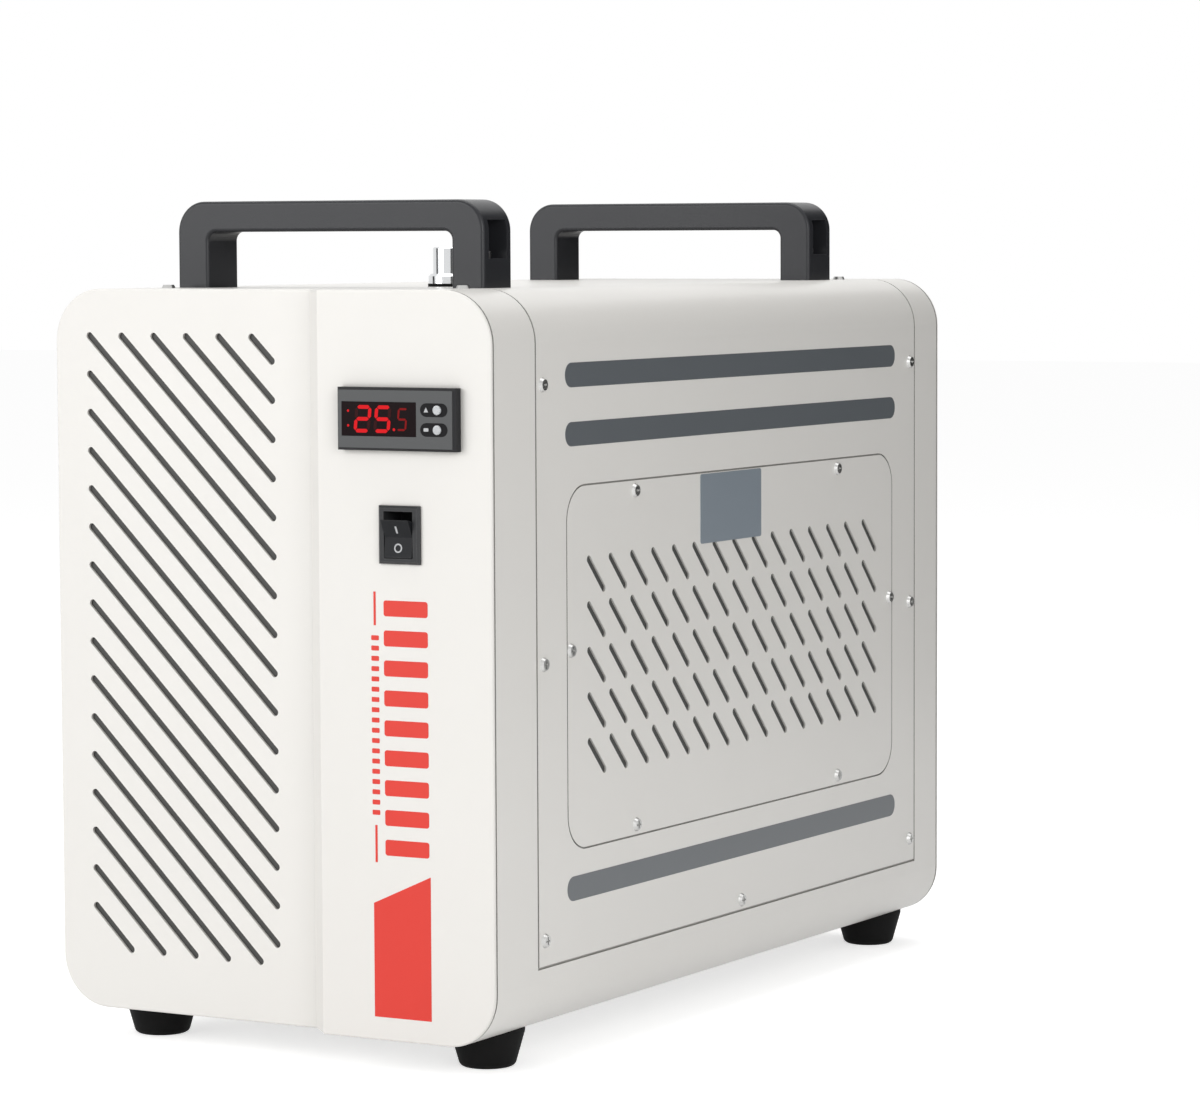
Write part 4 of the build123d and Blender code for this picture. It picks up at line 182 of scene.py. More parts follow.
def new_finish(name, colour, roughness, metallic=0.0, **sockets):
    """A material with one Principled shader, and the values that are the same all over it."""
    material = bpy.data.materials.new(name)
    material.use_nodes = True
    shader = material.node_tree.nodes["Principled BSDF"]
    shader.inputs["Base Color"].default_value = (*colour, 1)
    shader.inputs["Roughness"].default_value = roughness
    shader.inputs["Metallic"].default_value = metallic
    for key, value in sockets.items():
        shader.inputs[key.replace("_", " ")].default_value = value
    return material, material.node_tree, shader


# %% [markdown]
# ## Grain, as a node group
#
# Paint, plastic and rubber are never mirror flat. Powder coat has a fine orange peel, moulded plastic has a
# spark-eroded grain, and both are noise at different sizes. One group makes the height of that grain and a
# slow cloud that shifts the colour and the gloss a little. Each finish sets its own number of grains per
# metre.

# %% Group: surface grain
def make_group(name, inputs, outputs):
    """An empty shader group with named sockets, and its input and output nodes."""
    group = bpy.data.node_groups.new(name, "ShaderNodeTree")
    for label, kind, value in inputs:
        socket = group.interface.new_socket(label, in_out="INPUT", socket_type=kind)
        if value is not None:
            socket.default_value = value
    for label, kind in outputs:
        group.interface.new_socket(label, in_out="OUTPUT", socket_type=kind)
    return group, group.nodes.new("NodeGroupInput"), group.nodes.new("NodeGroupOutput")


FLOAT = "NodeSocketFloat"

grain_group, entry, result = make_group(
    "Surface grain",
    [("Grain per metre", FLOAT, 900.0), ("Cloud per metre", FLOAT, 9.0)],
    [("Height", FLOAT), ("Cloud", FLOAT)])
where = add_node(grain_group, "ShaderNodeTexCoord")
fine = add_node(grain_group, "ShaderNodeTexNoise", Detail=2.0, Roughness=0.55)
slow = add_node(grain_group, "ShaderNodeTexNoise", Detail=4.0, Roughness=0.6)
for noise, size in ((fine, "Grain per metre"), (slow, "Cloud per metre")):
    join(grain_group, where.outputs["Object"], noise.inputs["Vector"])
    join(grain_group, entry.outputs[size], noise.inputs["Scale"])
join(grain_group, fine.outputs["Fac"], result.inputs["Height"])
join(grain_group, slow.outputs["Fac"], result.inputs["Cloud"])
print("group", grain_group.name, "nodes", len(grain_group.nodes))

# %% [markdown]
# ## Worn edges, as a node group
#
# Hands and cleaning cloths polish the edges first. A Bevel node gives the normal that a rounded edge would
# have, and where that differs from the flat normal there is an edge. The difference, broken up by noise, is
# a mask of wear that works on any shape without painting.

# %% Group: edge wear
wear_group, entry, result = make_group(
    "Edge wear",
    [("Edge width", FLOAT, 0.0012), ("Break up per metre", FLOAT, 160.0), ("Amount", FLOAT, 1.0)],
    [("Mask", FLOAT)])
rounded = add_node(wear_group, "ShaderNodeBevel", samples=4)
flat = add_node(wear_group, "ShaderNodeNewGeometry")
alike = add_node(wear_group, "ShaderNodeVectorMath", operation="DOT_PRODUCT")
edge = add_node(wear_group, "ShaderNodeMapRange", From_Min=0.995, From_Max=0.93, To_Min=0.0, To_Max=1.0)
where = add_node(wear_group, "ShaderNodeTexCoord")
patches = add_node(wear_group, "ShaderNodeTexNoise", Detail=3.0)
join(wear_group, entry.outputs["Edge width"], rounded.inputs["Radius"])
join(wear_group, rounded.outputs["Normal"], alike.inputs[0])
join(wear_group, flat.outputs["Normal"], alike.inputs[1])
join(wear_group, alike.outputs["Value"], edge.inputs["Value"])
join(wear_group, where.outputs["Object"], patches.inputs["Vector"])
join(wear_group, entry.outputs["Break up per metre"], patches.inputs["Scale"])
broken = combine(wear_group, "MULTIPLY", edge.outputs["Result"], patches.outputs["Fac"])
scaled = combine(wear_group, "MULTIPLY", broken, entry.outputs["Amount"], use_clamp=True)
join(wear_group, scaled, result.inputs["Mask"])
print("group", wear_group.name, "nodes", len(wear_group.nodes))

# %% [markdown]
# ## Painted crevice shade, as a node group
#
# Little light reaches the bottom of a seam where two sheets meet, so this group paints that shade into the
# colour. An Ambient Occlusion node looks a few millimetres round each point and says how open it is. Its
# result, sharpened, is a mask of painted shade that is one in a seam and nought on open sheet.

# %% Group: painted crevice shade
crevice_shade_group, entry, result = make_group("Painted crevice shade", [("Amount", FLOAT, 1.0)], [("Mask", FLOAT)])
openness = add_node(crevice_shade_group, "ShaderNodeAmbientOcclusion", samples=6, Distance=0.004)
closed = add_node(crevice_shade_group, "ShaderNodeMapRange", From_Min=0.75, From_Max=0.25, To_Min=0.0, To_Max=1.0)
join(crevice_shade_group, openness.outputs["AO"], closed.inputs["Value"])
scaled = combine(crevice_shade_group, "MULTIPLY", closed.outputs["Result"], entry.outputs["Amount"],
                 use_clamp=True)
join(crevice_shade_group, scaled, result.inputs["Mask"])
print("group", crevice_shade_group.name, "nodes", len(crevice_shade_group.nodes))

# %% [markdown]
# ## One recipe for coated and moulded surfaces
#
# Most pieces here are paint, plastic, rubber or enamel. They differ in colour, gloss and grain but not in
# kind, so one function builds them all: the cloud moves the colour between two near shades and the gloss
# between two values, the edge mask lightens the rims, the crevice mask paints shade into the seams, and
# the grain drives a bump.

# %% Recipe: coated surface
COAT_RELIEF = 0.5
# How far the painted shade in the seams goes towards its colour.
SEAM_SHADE_AMOUNT = 0.9


def group_node(tree, group, **values):
    """Places a node group in a material with its own values."""
    node = tree.nodes.new("ShaderNodeGroup")
    node.node_tree = group
    for key, value in values.items():
        node.inputs[key.replace("_", " ")].default_value = value
    return node


def coated(name, colour, shade, gloss, grain, bump, rim=None, wear=0.0, metallic=0.0, seam_shade=None, **sockets):
    """Paint or plastic: two near colours, two roughness values, grains per metre, bump height in metres,
    the colour of worn rims and how worn they are, and the colour of the painted shade in the seams."""
    material, tree, shader = new_finish(name, colour, gloss[0], metallic, **sockets)
    surface = group_node(tree, grain_group, Grain_per_metre=grain)
    tone = mix_colours(tree, colour, shade, surface.outputs["Cloud"])
    if rim:
        edges = group_node(tree, wear_group, Amount=wear)
        tone = mix_colours(tree, tone, rim, edges.outputs["Mask"])
    # Painted shade: an occlusion mask darkens the seams towards the given colour.
    if seam_shade:
        painted_shade = group_node(tree, crevice_shade_group, Amount=SEAM_SHADE_AMOUNT)
        tone = mix_colours(tree, tone, seam_shade, painted_shade.outputs["Mask"])
    join(tree, tone, shader.inputs["Base Color"])
    vary_gloss(tree, shader, surface.outputs["Cloud"], gloss)
    add_relief(tree, shader, surface.outputs["Height"], COAT_RELIEF, bump)
    return material


# %% [markdown]
# ## The white powder coat
#
# The casing is baked powder paint, a warm white that is a little glossy with a faint orange peel. The peel is
# about two millimetres across and only hundredths of a millimetre high, which shows in the highlights on the
# folded edges and nowhere else.

# %% Finish: white powder coat
# The dark warm grey for the seams is painted shade, laid into the bottom of every seam.
white_paint = coated("white powder coat", colour=(0.86, 0.842, 0.806), shade=(0.83, 0.812, 0.776),
                     gloss=(0.34, 0.42), grain=420.0, bump=0.00006, rim=(0.9, 0.885, 0.85), wear=0.35,
                     seam_shade=(0.2, 0.19, 0.175), Coat_Weight=0.15, Coat_Roughness=0.2)
print("made", white_paint.name)

# %% [markdown]
# ## Black mouldings and rubber
#
# Several blacks sit side by side on this machine. The handles are glass-filled nylon with a soft sheen and
# lighter rubbed corners, the thermostat and the switch have a finer grain, the rocker is darker than its
# frame, and the feet are matt rubber. Gloss and grain tell them apart more than colour does.

# %% Finishes: black mouldings and rubber
handle_black = coated("handle nylon", colour=(0.02, 0.021, 0.024), shade=(0.028, 0.029, 0.033),
                      gloss=(0.26, 0.36), grain=1400.0, bump=0.00006, rim=(0.07, 0.07, 0.075), wear=0.5,
                      Specular_IOR_Level=0.3)
case_black = coated("case plastic", colour=(0.02, 0.02, 0.022), shade=(0.028, 0.028, 0.03),
                    gloss=(0.38, 0.5), grain=2200.0, bump=0.00004, rim=(0.05, 0.05, 0.055), wear=0.4,
                    Specular_IOR_Level=0.12)
switch_black = coated("switch plastic", colour=(0.03, 0.031, 0.033), shade=(0.038, 0.039, 0.041),
                      gloss=(0.3, 0.4), grain=2600.0, bump=0.00003, rim=(0.12, 0.12, 0.12), wear=0.6,
                      Specular_IOR_Level=0.2)
rocker_black = coated("rocker plastic", colour=(0.012, 0.013, 0.015), shade=(0.017, 0.018, 0.02),
                      gloss=(0.26, 0.34), grain=2600.0, bump=0.00002, rim=(0.05, 0.05, 0.05), wear=0.5,
                      Specular_IOR_Level=0.1)
foot_rubber = coated("foot rubber", colour=(0.007, 0.007, 0.007), shade=(0.014, 0.014, 0.014),
                     gloss=(0.62, 0.8), grain=900.0, bump=0.00012, rim=(0.04, 0.04, 0.04), wear=0.5,
                     Specular_IOR_Level=0.08)
print("made", [m.name for m in (handle_black, case_black, switch_black, rocker_black, foot_rubber)])

# %% [markdown]
# ## Turned and rolled metal
#
# Bright metal shows how it was made. Sheet keeps fine lines from the rolling mill, and plated screws have a
# faint haze. Stretching noise fiftyfold along one axis gives the lines; the group gives back a height and a
# mask, so steel, copper, brass and aluminium share it with their own colours.

# %% Group: drawn lines
lines_group, entry, result = make_group(
    "Drawn lines", [("Lines per metre", FLOAT, 1500.0)], [("Height", FLOAT), ("Haze", FLOAT)])
where = add_node(lines_group, "ShaderNodeTexCoord")
stretch = add_node(lines_group, "ShaderNodeMapping", Scale=(1.0, 0.02, 1.0))
lines = add_node(lines_group, "ShaderNodeTexNoise", Detail=3.0, Roughness=0.7)
haze = add_node(lines_group, "ShaderNodeTexNoise", Scale=45.0, Detail=4.0)
join(lines_group, where.outputs["Object"], stretch.inputs["Vector"])
join(lines_group, stretch.outputs["Vector"], lines.inputs["Vector"])
join(lines_group, entry.outputs["Lines per metre"], lines.inputs["Scale"])
join(lines_group, where.outputs["Object"], haze.inputs["Vector"])
join(lines_group, lines.outputs["Fac"], result.inputs["Height"])
join(lines_group, haze.outputs["Fac"], result.inputs["Haze"])
print("group", lines_group.name, "nodes", len(lines_group.nodes))


# %% Recipe and finishes: bare metal
METAL_RELIEF = 0.4


def bare_metal(name, colour, shade, gloss, bump=0.00002):
    """Metal with drawn lines and a haze that moves its colour and gloss."""
    material, tree, shader = new_finish(name, colour, gloss[0], 1.0)
    drawn = group_node(tree, lines_group)
    join(tree, mix_colours(tree, colour, shade, drawn.outputs["Haze"]), shader.inputs["Base Color"])
    vary_gloss(tree, shader, drawn.outputs["Haze"], gloss)
    add_relief(tree, shader, drawn.outputs["Height"], METAL_RELIEF, bump)
    return material


screw_steel = bare_metal("zinc plated steel", colour=(0.6, 0.6, 0.59), shade=(0.42, 0.42, 0.41),
                         gloss=(0.24, 0.4))
galvanised = bare_metal("galvanised sheet", colour=(0.56, 0.57, 0.58), shade=(0.4, 0.41, 0.43),
                        gloss=(0.3, 0.5), bump=0.00004)
chrome = bare_metal("chrome", colour=(0.74, 0.75, 0.76), shade=(0.68, 0.69, 0.7), gloss=(0.07, 0.13),
                    bump=0.000004)
aluminium = bare_metal("mill aluminium", colour=(0.68, 0.69, 0.7), shade=(0.55, 0.56, 0.57),
                       gloss=(0.28, 0.42))
copper = bare_metal("drawn copper", colour=(0.72, 0.36, 0.22), shade=(0.42, 0.19, 0.12),
                    gloss=(0.2, 0.45))
brass = bare_metal("turned brass", colour=(0.7, 0.52, 0.24), shade=(0.55, 0.39, 0.17),
                   gloss=(0.18, 0.34))
print("metals", [m.name for m in (screw_steel, galvanised, chrome, aluminium, copper, brass)])

# %% [markdown]
# ## The dust filters behind the slots
#
# Behind every slot lies a sheet of black woven mesh. Seen through a narrow slot it reads as a dark mottle
# with small glints. Wave textures along all three axes make the threads of a plain weave for a sheet that
# faces any way. The highest wave at a point is the thread on top there, and where all are low there is a hole.

# %% Finish: woven filter mesh
MESH_ROUGHNESS = 0.5
MESH_RELIEF = 0.8
MESH_BUMP = 0.0004
MESH_AXES = ("Y", "Z", "X")
HALF_WAVE = 0.5


def woven_mesh(name, thread, hole, threads_per_metre):
    """A plain weave of round threads over dark holes."""
    material, tree, shader = new_finish(name, thread, MESH_ROUGHNESS)
    where = add_node(tree, "ShaderNodeTexCoord")
    heights = []
    for along in MESH_AXES:
        wave = add_node(tree, "ShaderNodeTexWave", Scale=threads_per_metre / math.tau * HALF_WAVE,
                        bands_direction=along)
        join(tree, where.outputs["Object"], wave.inputs["Vector"])
        heights.append(wave.outputs["Fac"])
    pair = combine(tree, "MAXIMUM", heights[0], heights[1])
    highest = combine(tree, "MAXIMUM", pair, heights[2])
    join(tree, mix_colours(tree, hole, thread, highest), shader.inputs["Base Color"])
    add_relief(tree, shader, highest, MESH_RELIEF, MESH_BUMP)
    return material


filter_mesh = woven_mesh("woven filter mesh", thread=(0.045, 0.044, 0.042), hole=(0.003, 0.003, 0.003),
                         threads_per_metre=700.0)
print("made", filter_mesh.name)

# %% [markdown]
# ## Inside finishes
#
# The covers come off on a bench, so the works get true finishes too: enamel on the compressor and the pump,
# milky polyethylene on the tank, ribbed rubber hose and clear sight tube. They come from the same recipe,
# which shows why a recipe with named values is worth having.

# %% Finishes: enamel, tank, hoses, boxes
can_enamel = coated("black enamel", colour=(0.015, 0.015, 0.016), shade=(0.022, 0.022, 0.024),
                    gloss=(0.14, 0.24), grain=260.0, bump=0.00008, rim=(0.07, 0.07, 0.07), wear=0.4)
pump_enamel = coated("pump enamel", colour=(0.05, 0.075, 0.12), shade=(0.06, 0.085, 0.13),
                     gloss=(0.3, 0.42), grain=300.0, bump=0.0001, rim=(0.2, 0.2, 0.2), wear=0.5)
tank_plastic = coated("natural polyethylene", colour=(0.72, 0.73, 0.7), shade=(0.66, 0.67, 0.63),
                      gloss=(0.42, 0.55), grain=500.0, bump=0.0001, Subsurface_Weight=0.2,
                      Subsurface_Scale=0.004)
hose_rubber = coated("hose rubber", colour=(0.028, 0.028, 0.03), shade=(0.045, 0.045, 0.045),
                     gloss=(0.5, 0.65), grain=700.0, bump=0.0001, rim=(0.08, 0.08, 0.08), wear=0.3)
box_grey = coated("grey moulding", colour=(0.26, 0.27, 0.28), shade=(0.3, 0.31, 0.32), gloss=(0.4, 0.5),
                  grain=1800.0, bump=0.00005, rim=(0.4, 0.4, 0.4), wear=0.4)
fan_black = coated("fan plastic", colour=(0.02, 0.02, 0.021), shade=(0.03, 0.03, 0.03),
                   gloss=(0.4, 0.55), grain=1200.0, bump=0.00008, rim=(0.07, 0.07, 0.07), wear=0.4)
sight_tube = new_finish("clear sight tube", colour=(0.9, 0.93, 0.93), roughness=0.08, IOR=1.49,
                        Transmission_Weight=0.85)[0]
print("made", [m.name for m in (can_enamel, pump_enamel, tank_plastic, hose_rubber, box_grey, fan_black)])

# %% [markdown]
# ## The thermostat's face
#
# The face is a grey printed film round a dark tinted window. The film is slightly pebbled polyester, the
# window is glossy acrylic, and the two buttons are metallised domes.

# %% Finishes: film, window, buttons
film_grey = coated("printed film", colour=(0.075, 0.078, 0.08), shade=(0.085, 0.088, 0.09),
                   gloss=(0.36, 0.44), grain=3000.0, bump=0.00002, Specular_IOR_Level=0.3)
dark_window = coated("tinted window", colour=(0.008, 0.004, 0.005), shade=(0.012, 0.005, 0.006),
                     gloss=(0.1, 0.16), grain=500.0, bump=0.000004, Specular_IOR_Level=0.08)
silver_button = coated("metallised button", colour=(0.4, 0.41, 0.42), shade=(0.3, 0.31, 0.32),
                       gloss=(0.2, 0.3), grain=2400.0, bump=0.00001, metallic=0.6)
print("made", [m.name for m in (film_grey, dark_window, silver_button)])

# %% [markdown]
# ## Dress every solid
#
# A list of which solid wears which finish is plain to read and easy to check. Each solid has one material
# slot, so the finish goes there, and the shape stays as it came.

# %% Give each solid its finish
worn_by = {
    white_paint: ["chassis", "front_panel", "rear_panel", "top_cover", "vent_panel_left",
                  "vent_panel_right"],
    screw_steel: ["casing_screws", "vent_panel_screws", "handle_bolts", "foot_bolts", "compressor_bolts",
                  "evaporator_coil", "alarm_socket"],
    handle_black: ["handle_front", "handle_rear"],
    chrome: ["filler_neck", "filler_cap"],
    foot_rubber: ["filler_gasket", "foot_front_left", "foot_front_right", "foot_rear_left",
                  "foot_rear_right", "compressor_mounts"],
    case_black: ["controller_case", "drain_cap", "mains_inlet", "fuse_drawer"],
    film_grey: ["controller_film"],
    dark_window: ["display_window"],
    silver_button: ["button_up", "button_set"],
    switch_black: ["switch_housing"],
    rocker_black: ["switch_rocker"],
    filter_mesh: ["front_filter", "vent_filter_left", "vent_filter_right"],
    galvanised: ["fan_guard", "fan_shroud", "motor_bracket", "electrics_tray"],
    can_enamel: ["fan_motor", "compressor"],
    fan_black: ["fan_rotor"],
    aluminium: ["condenser"],
    copper: ["discharge_pipe", "filter_drier", "liquid_line", "suction_pipe"],
    brass: ["outlet_fitting", "inlet_fitting"],
    tank_plastic: ["water_tank"],
    hose_rubber: ["filler_hose", "pump_hose", "outlet_hose", "return_hose", "drain_pipe"],
    pump_enamel: ["pump"],
    sight_tube: ["level_gauge", "gauge_hoses"],
    box_grey: ["relay_box"],
}
for finish, names in worn_by.items():
    for name in names:
        nodes[name].data.materials.clear()
        nodes[name].data.materials.append(finish)
bare = sorted(set(nodes) - {name for names in worn_by.values() for name in names})
print("solids without a finish", bare)

# %% [markdown]
# ## Thin flat pieces
#
# Print, foil and lit segments are flat shapes, most of them a few hundredths of a millimetre thick. One
# function makes them all: it takes an outline in the plane of a wall, closes it as a face and thickens it
# outwards, so every one is a closed mesh that sits just proud of what carries it.

# %% Helpers for flat pieces
PRINT_THICKNESS = 0.06 * MM
PRINT_GAP = 0.03 * MM
X_AXIS, Y_AXIS, Z_AXIS = (1, 0, 0), (0, 1, 0), (0, 0, 1)


class Wall:
    """A flat wall: a point on it, the way right and the way up, as seen from outside."""

    def __init__(self, origin, right, up):
        self.origin, self.right, self.up = Vector(origin), Vector(right), Vector(up)
        self.out = self.right.cross(self.up)

    def point(self, across, height, proud):
        """A point by its distance to the right and up, and its height over the wall."""
        return self.origin + self.right * across + self.up * height + self.out * proud


def flat_piece(name, wall, outlines, finish, body="casing", proud=PRINT_GAP, thickness=PRINT_THICKNESS):
    """Closed flat pieces on a wall, one for each outline, as one object."""
    mesh = bpy.data.meshes.new(name)
    build = bmesh.new()
    for outline in outlines:
        low = [build.verts.new(wall.point(a, h, proud)) for a, h in outline]
        high = [build.verts.new(wall.point(a, h, proud + thickness)) for a, h in outline]
        build.faces.new(high)
        build.faces.new(list(reversed(low)))
        for i in range(len(outline)):
            j = (i + 1) % len(outline)
            build.faces.new((low[i], low[j], high[j], high[i]))
    bmesh.ops.recalc_face_normals(build, faces=build.faces)
    build.to_mesh(mesh)
    build.free()
    piece = bpy.data.objects.new(name, mesh)
    piece.data.materials.append(finish)
    bpy.context.collection.objects.link(piece)
    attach(piece, body)


def arc(across, height, radius, start, end, steps=8):
    """Points on an arc, angles in degrees, anticlockwise as seen from outside."""
    angles = [math.radians(start + (end - start) * i / steps) for i in range(steps + 1)]
    return [(across + radius * math.cos(a), height + radius * math.sin(a)) for a in angles]


def rounded_bar(left, right_side, low, high, radius):
    """A rectangle with round corners."""
    return (arc(right_side - radius, high - radius, radius, 0, 90)
            + arc(left + radius, high - radius, radius, 90, 180)
            + arc(left + radius, low + radius, radius, 180, 270)
            + arc(right_side - radius, low + radius, radius, 270, 360))


# %% [markdown]
# ## The grey stripes
#
# Three long stripes are printed on each side of the cover, two above the vent panel and one below. They have
# round ends and stop short of the screws. The ink is a flat dark grey that dries slightly blue.

# %% Print the stripes
stripe_ink = coated("grey ink", colour=(0.12, 0.133, 0.145), shade=(0.132, 0.145, 0.157),
                    gloss=(0.3, 0.36), grain=1500.0, bump=0.00002)
STRIPE_FRONT, STRIPE_REAR = 0.0305, 0.0276  # metres from the cover's ends
STRIPES = ((347.7, 361.0), (315.9, 329.0), (69.0, 82.4))  # millimetres over the casing's underside
STRIPE_END_FLAT = 0.1 * MM
CASING_UNDERSIDE = 19.5
walls = {
    "right": Wall((cover_high.x, 0, 0), Y_AXIS, Z_AXIS),
    "left": Wall((cover_low.x, 0, 0), (0, -1, 0), Z_AXIS),
}
for side, wall in walls.items():
    ends = (cover_low.y + STRIPE_FRONT, cover_high.y - STRIPE_REAR)
    ends = ends if side == "right" else (-ends[1], -ends[0])
    bars = []
    for low, high in STRIPES:
        low, high = (low + CASING_UNDERSIDE) * MM, (high + CASING_UNDERSIDE) * MM
        bars.append(rounded_bar(ends[0], ends[1], low, high, (high - low) / 2 - STRIPE_END_FLAT))
    flat_piece("stripes_" + side, wall, bars, stripe_ink)
    print("stripes", side, "length", round(1000 * (ends[1] - ends[0])), "mm")

# %% [markdown]
# ## Red print on the front
#
# Red ink runs down below the switch. Its words are left off: a plain block stands at the foot, a ladder of
# bars takes the place of the tall letters and a row of ticks that of the small ones, so the front keeps its
# colour and balance without saying anything.

# %% Print the red fields
red_ink = coated("red ink", colour=(0.78, 0.035, 0.018), shade=(0.72, 0.03, 0.016), gloss=(0.38, 0.46),
                 grain=1500.0, bump=0.00002)
front_wall = Wall((0, front_low.y, CASING_UNDERSIDE * MM), X_AXIS, Z_AXIS)
BLOCK_LEFT, BLOCK_RIGHT, BLOCK_LOW, BLOCK_HIGH, BLOCK_DROP = 70.0, 105.7, 12.7, 90.0, 16.0
RULE_LEFT, RULE_RIGHT, RULE_SPANS = 71.2, 72.6, ((223.0, 241.0), (96.0, 116.0))


def ladder(left, right_side, lowest, pitch, tall, count, radius):
    """Bars of one size, one above the other."""
    feet = [lowest + i * pitch for i in range(count)]
    return [rounded_bar(left, right_side, foot, foot + tall, radius) for foot in feet]


block = [(BLOCK_LEFT, BLOCK_LOW), (BLOCK_RIGHT, BLOCK_LOW), (BLOCK_RIGHT, BLOCK_HIGH),
         (BLOCK_LEFT, BLOCK_HIGH - BLOCK_DROP)]
rules = [[(RULE_LEFT, low), (RULE_RIGHT, low), (RULE_RIGHT, high), (RULE_LEFT, high)]
         for low, high in RULE_SPANS]
bars = ladder(left=77.5, right_side=105.0, lowest=100.0, pitch=16.0, tall=8.5, count=9, radius=1.5)
ticks = ladder(left=69.6, right_side=74.4, lowest=121.5, pitch=5.5, tall=2.6, count=18, radius=0.5)
fields = [[(a * MM, h * MM) for a, h in outline] for outline in [block] + rules + bars + ticks]
flat_piece("red_fields", front_wall, fields, red_ink)
print("red fields", len(fields))

# %% [markdown]
# ## The plate on the vent panel
#
# A small foil plate is stuck over the top of the slots. It is bare here. A thin plate with round corners and
# a silvered finish reads as foil from its sheen alone.

# %% Stick on the plate
plate_foil = coated("silvered foil", colour=(0.33, 0.38, 0.43), shade=(0.29, 0.34, 0.39),
                    gloss=(0.3, 0.4), grain=2500.0, bump=0.00001, metallic=0.3)
vent_wall = Wall((vent_high.x, 0, CASING_UNDERSIDE * MM), Y_AXIS, Z_AXIS)
PLATE_FRONT, PLATE_REAR, PLATE_LOW, PLATE_HIGH = -52.1, 22.5, 254.0, 293.5
PLATE_CORNER = 1.5 * MM
PLATE_THICKNESS = 0.3 * MM
plate = rounded_bar(PLATE_FRONT * MM, PLATE_REAR * MM, PLATE_LOW * MM, PLATE_HIGH * MM, PLATE_CORNER)
flat_piece("vent_plate", vent_wall, [plate], plate_foil, thickness=PLATE_THICKNESS)
print("plate", round(PLATE_REAR - PLATE_FRONT), "by", round(PLATE_HIGH - PLATE_LOW), "mm")

# %% [markdown]
# ## Lit digits
#
# The thermostat shows a temperature in red seven-segment digits. Each segment is a long hexagon, and a digit
# is a choice of seven. The lit ones glow; the others stay just visible behind the window, which is what
# makes a display look real.

# %% Build the digits
SEGMENTS = {  # across in half widths, height in quarters of the digit, and whether it lies flat
    "top": (0, 2, True), "upper_left": (-1, 1, False), "upper_right": (1, 1, False), "middle": (0, 0, True),
    "lower_left": (-1, -1, False), "lower_right": (1, -1, False), "bottom": (0, -2, True),
}
DIGITS = {
    "2": ("top", "upper_right", "middle", "lower_left", "bottom"),
    "5": ("top", "upper_left", "middle", "lower_right", "bottom"),
}
DIGIT_LEAN = 0.1
SEGMENT_GAP = 0.12  # share of the stroke
GLOW_FLOOR = 0.75  # share of the full glow in the dimmer grains


def segment_outline(across, height, flat_lying, width, tall, stroke):
    """The hexagon of one segment, leaning with its digit."""
    x, z = across * width / 2, height * tall / 4
    reach = (width if flat_lying else tall / 2) / 2 - stroke * SEGMENT_GAP
    half = stroke / 2
    if flat_lying:
        points = [(-reach, 0), (half - reach, -half), (reach - half, -half),
                  (reach, 0), (reach - half, half), (half - reach, half)]
    else:
        points = [(0, -reach), (half, half - reach), (half, reach - half),
                  (0, reach), (-half, reach - half), (-half, half - reach)]
    return [(x + a + (z + b) * DIGIT_LEAN, z + b) for a, b in points]


def digit_outlines(value, left, width, tall, stroke, lit=True):
    """The lit or the dark segments of one digit, halfway up the window."""
    chosen = [SEGMENTS[name] for name in SEGMENTS if (name in DIGITS[value]) == lit]
    outlines = [segment_outline(*segment, width, tall, stroke) for segment in chosen]
    return [[(left + width / 2 + a, h) for a, h in outline] for outline in outlines]


def glowing(name, colour, strength):
    """A lit segment: a glow over a dark base that varies a little with the grain."""
    material, tree, shader = new_finish(name, colour=(0.1, 0.004, 0.004), roughness=0.35,
                                        Specular_IOR_Level=0.05)
    surface = group_node(tree, grain_group, Grain_per_metre=2600.0)
    dimmer = tuple(c * GLOW_FLOOR for c in colour)
    glow = mix_colours(tree, dimmer, colour, surface.outputs["Height"])
    join(tree, glow, shader.inputs["Emission Color"])
    shader.inputs["Emission Strength"].default_value = strength
    return material


lit_red = glowing("lit red", colour=(1.0, 0.012, 0.02), strength=0.75)
dim_red = glowing("dim red", colour=(0.4, 0.01, 0.012), strength=0.4)
unlit_red = coated("unlit segment", colour=(0.03, 0.004, 0.005), shade=(0.035, 0.005, 0.006),
                   gloss=(0.15, 0.2), grain=900.0, bump=0.000004, Specular_IOR_Level=0.08)
window_wall = Wall((window_low.x, window_low.y, (window_low.z + window_high.z) / 2), X_AXIS, Z_AXIS)
window_width = window_high.x - window_low.x
BIG_SIZE = (8.2 * MM, 12.6 * MM, 2.0 * MM)  # width, height and stroke
SMALL_SIZE = (5.0 * MM, 11.0 * MM, 1.1 * MM)
BIG_DIGITS = (("tens", "2", 9.0), ("units", "5", 21.4))  # name, value and left end
TENTHS_LEFT = 35.2 * MM
DOTS = ((4.0, 4.2, 0.7), (4.0, -3.6, 0.7), (32.6, -5.4, 0.8))  # across, height and radius
DOT_STEPS = 12
for slot, value, left in BIG_DIGITS:
    for kind, lit, finish in (("digit_", True, lit_red), ("digit_unlit_", False, unlit_red)):
        outlines = digit_outlines(value, left * MM, *BIG_SIZE, lit=lit)
        flat_piece(kind + slot, window_wall, outlines, finish)
flat_piece("digit_tenths", window_wall, digit_outlines("5", TENTHS_LEFT, *SMALL_SIZE), dim_red)
dots = [arc(a * MM, h * MM, radius * MM, 0, 360, DOT_STEPS)[:-1] for a, h, radius in DOTS]
flat_piece("signal_dots", window_wall, dots, lit_red)
print("digits on a window of", round(1000 * window_width, 1), "mm")

# %% [markdown]
# ## The fields round the buttons
#
# Each button sits at the right end of a dark pill-shaped field, with a small light mark at the left end. The
# button stands prouder than the ink, so the field runs on behind it and needs no hole.

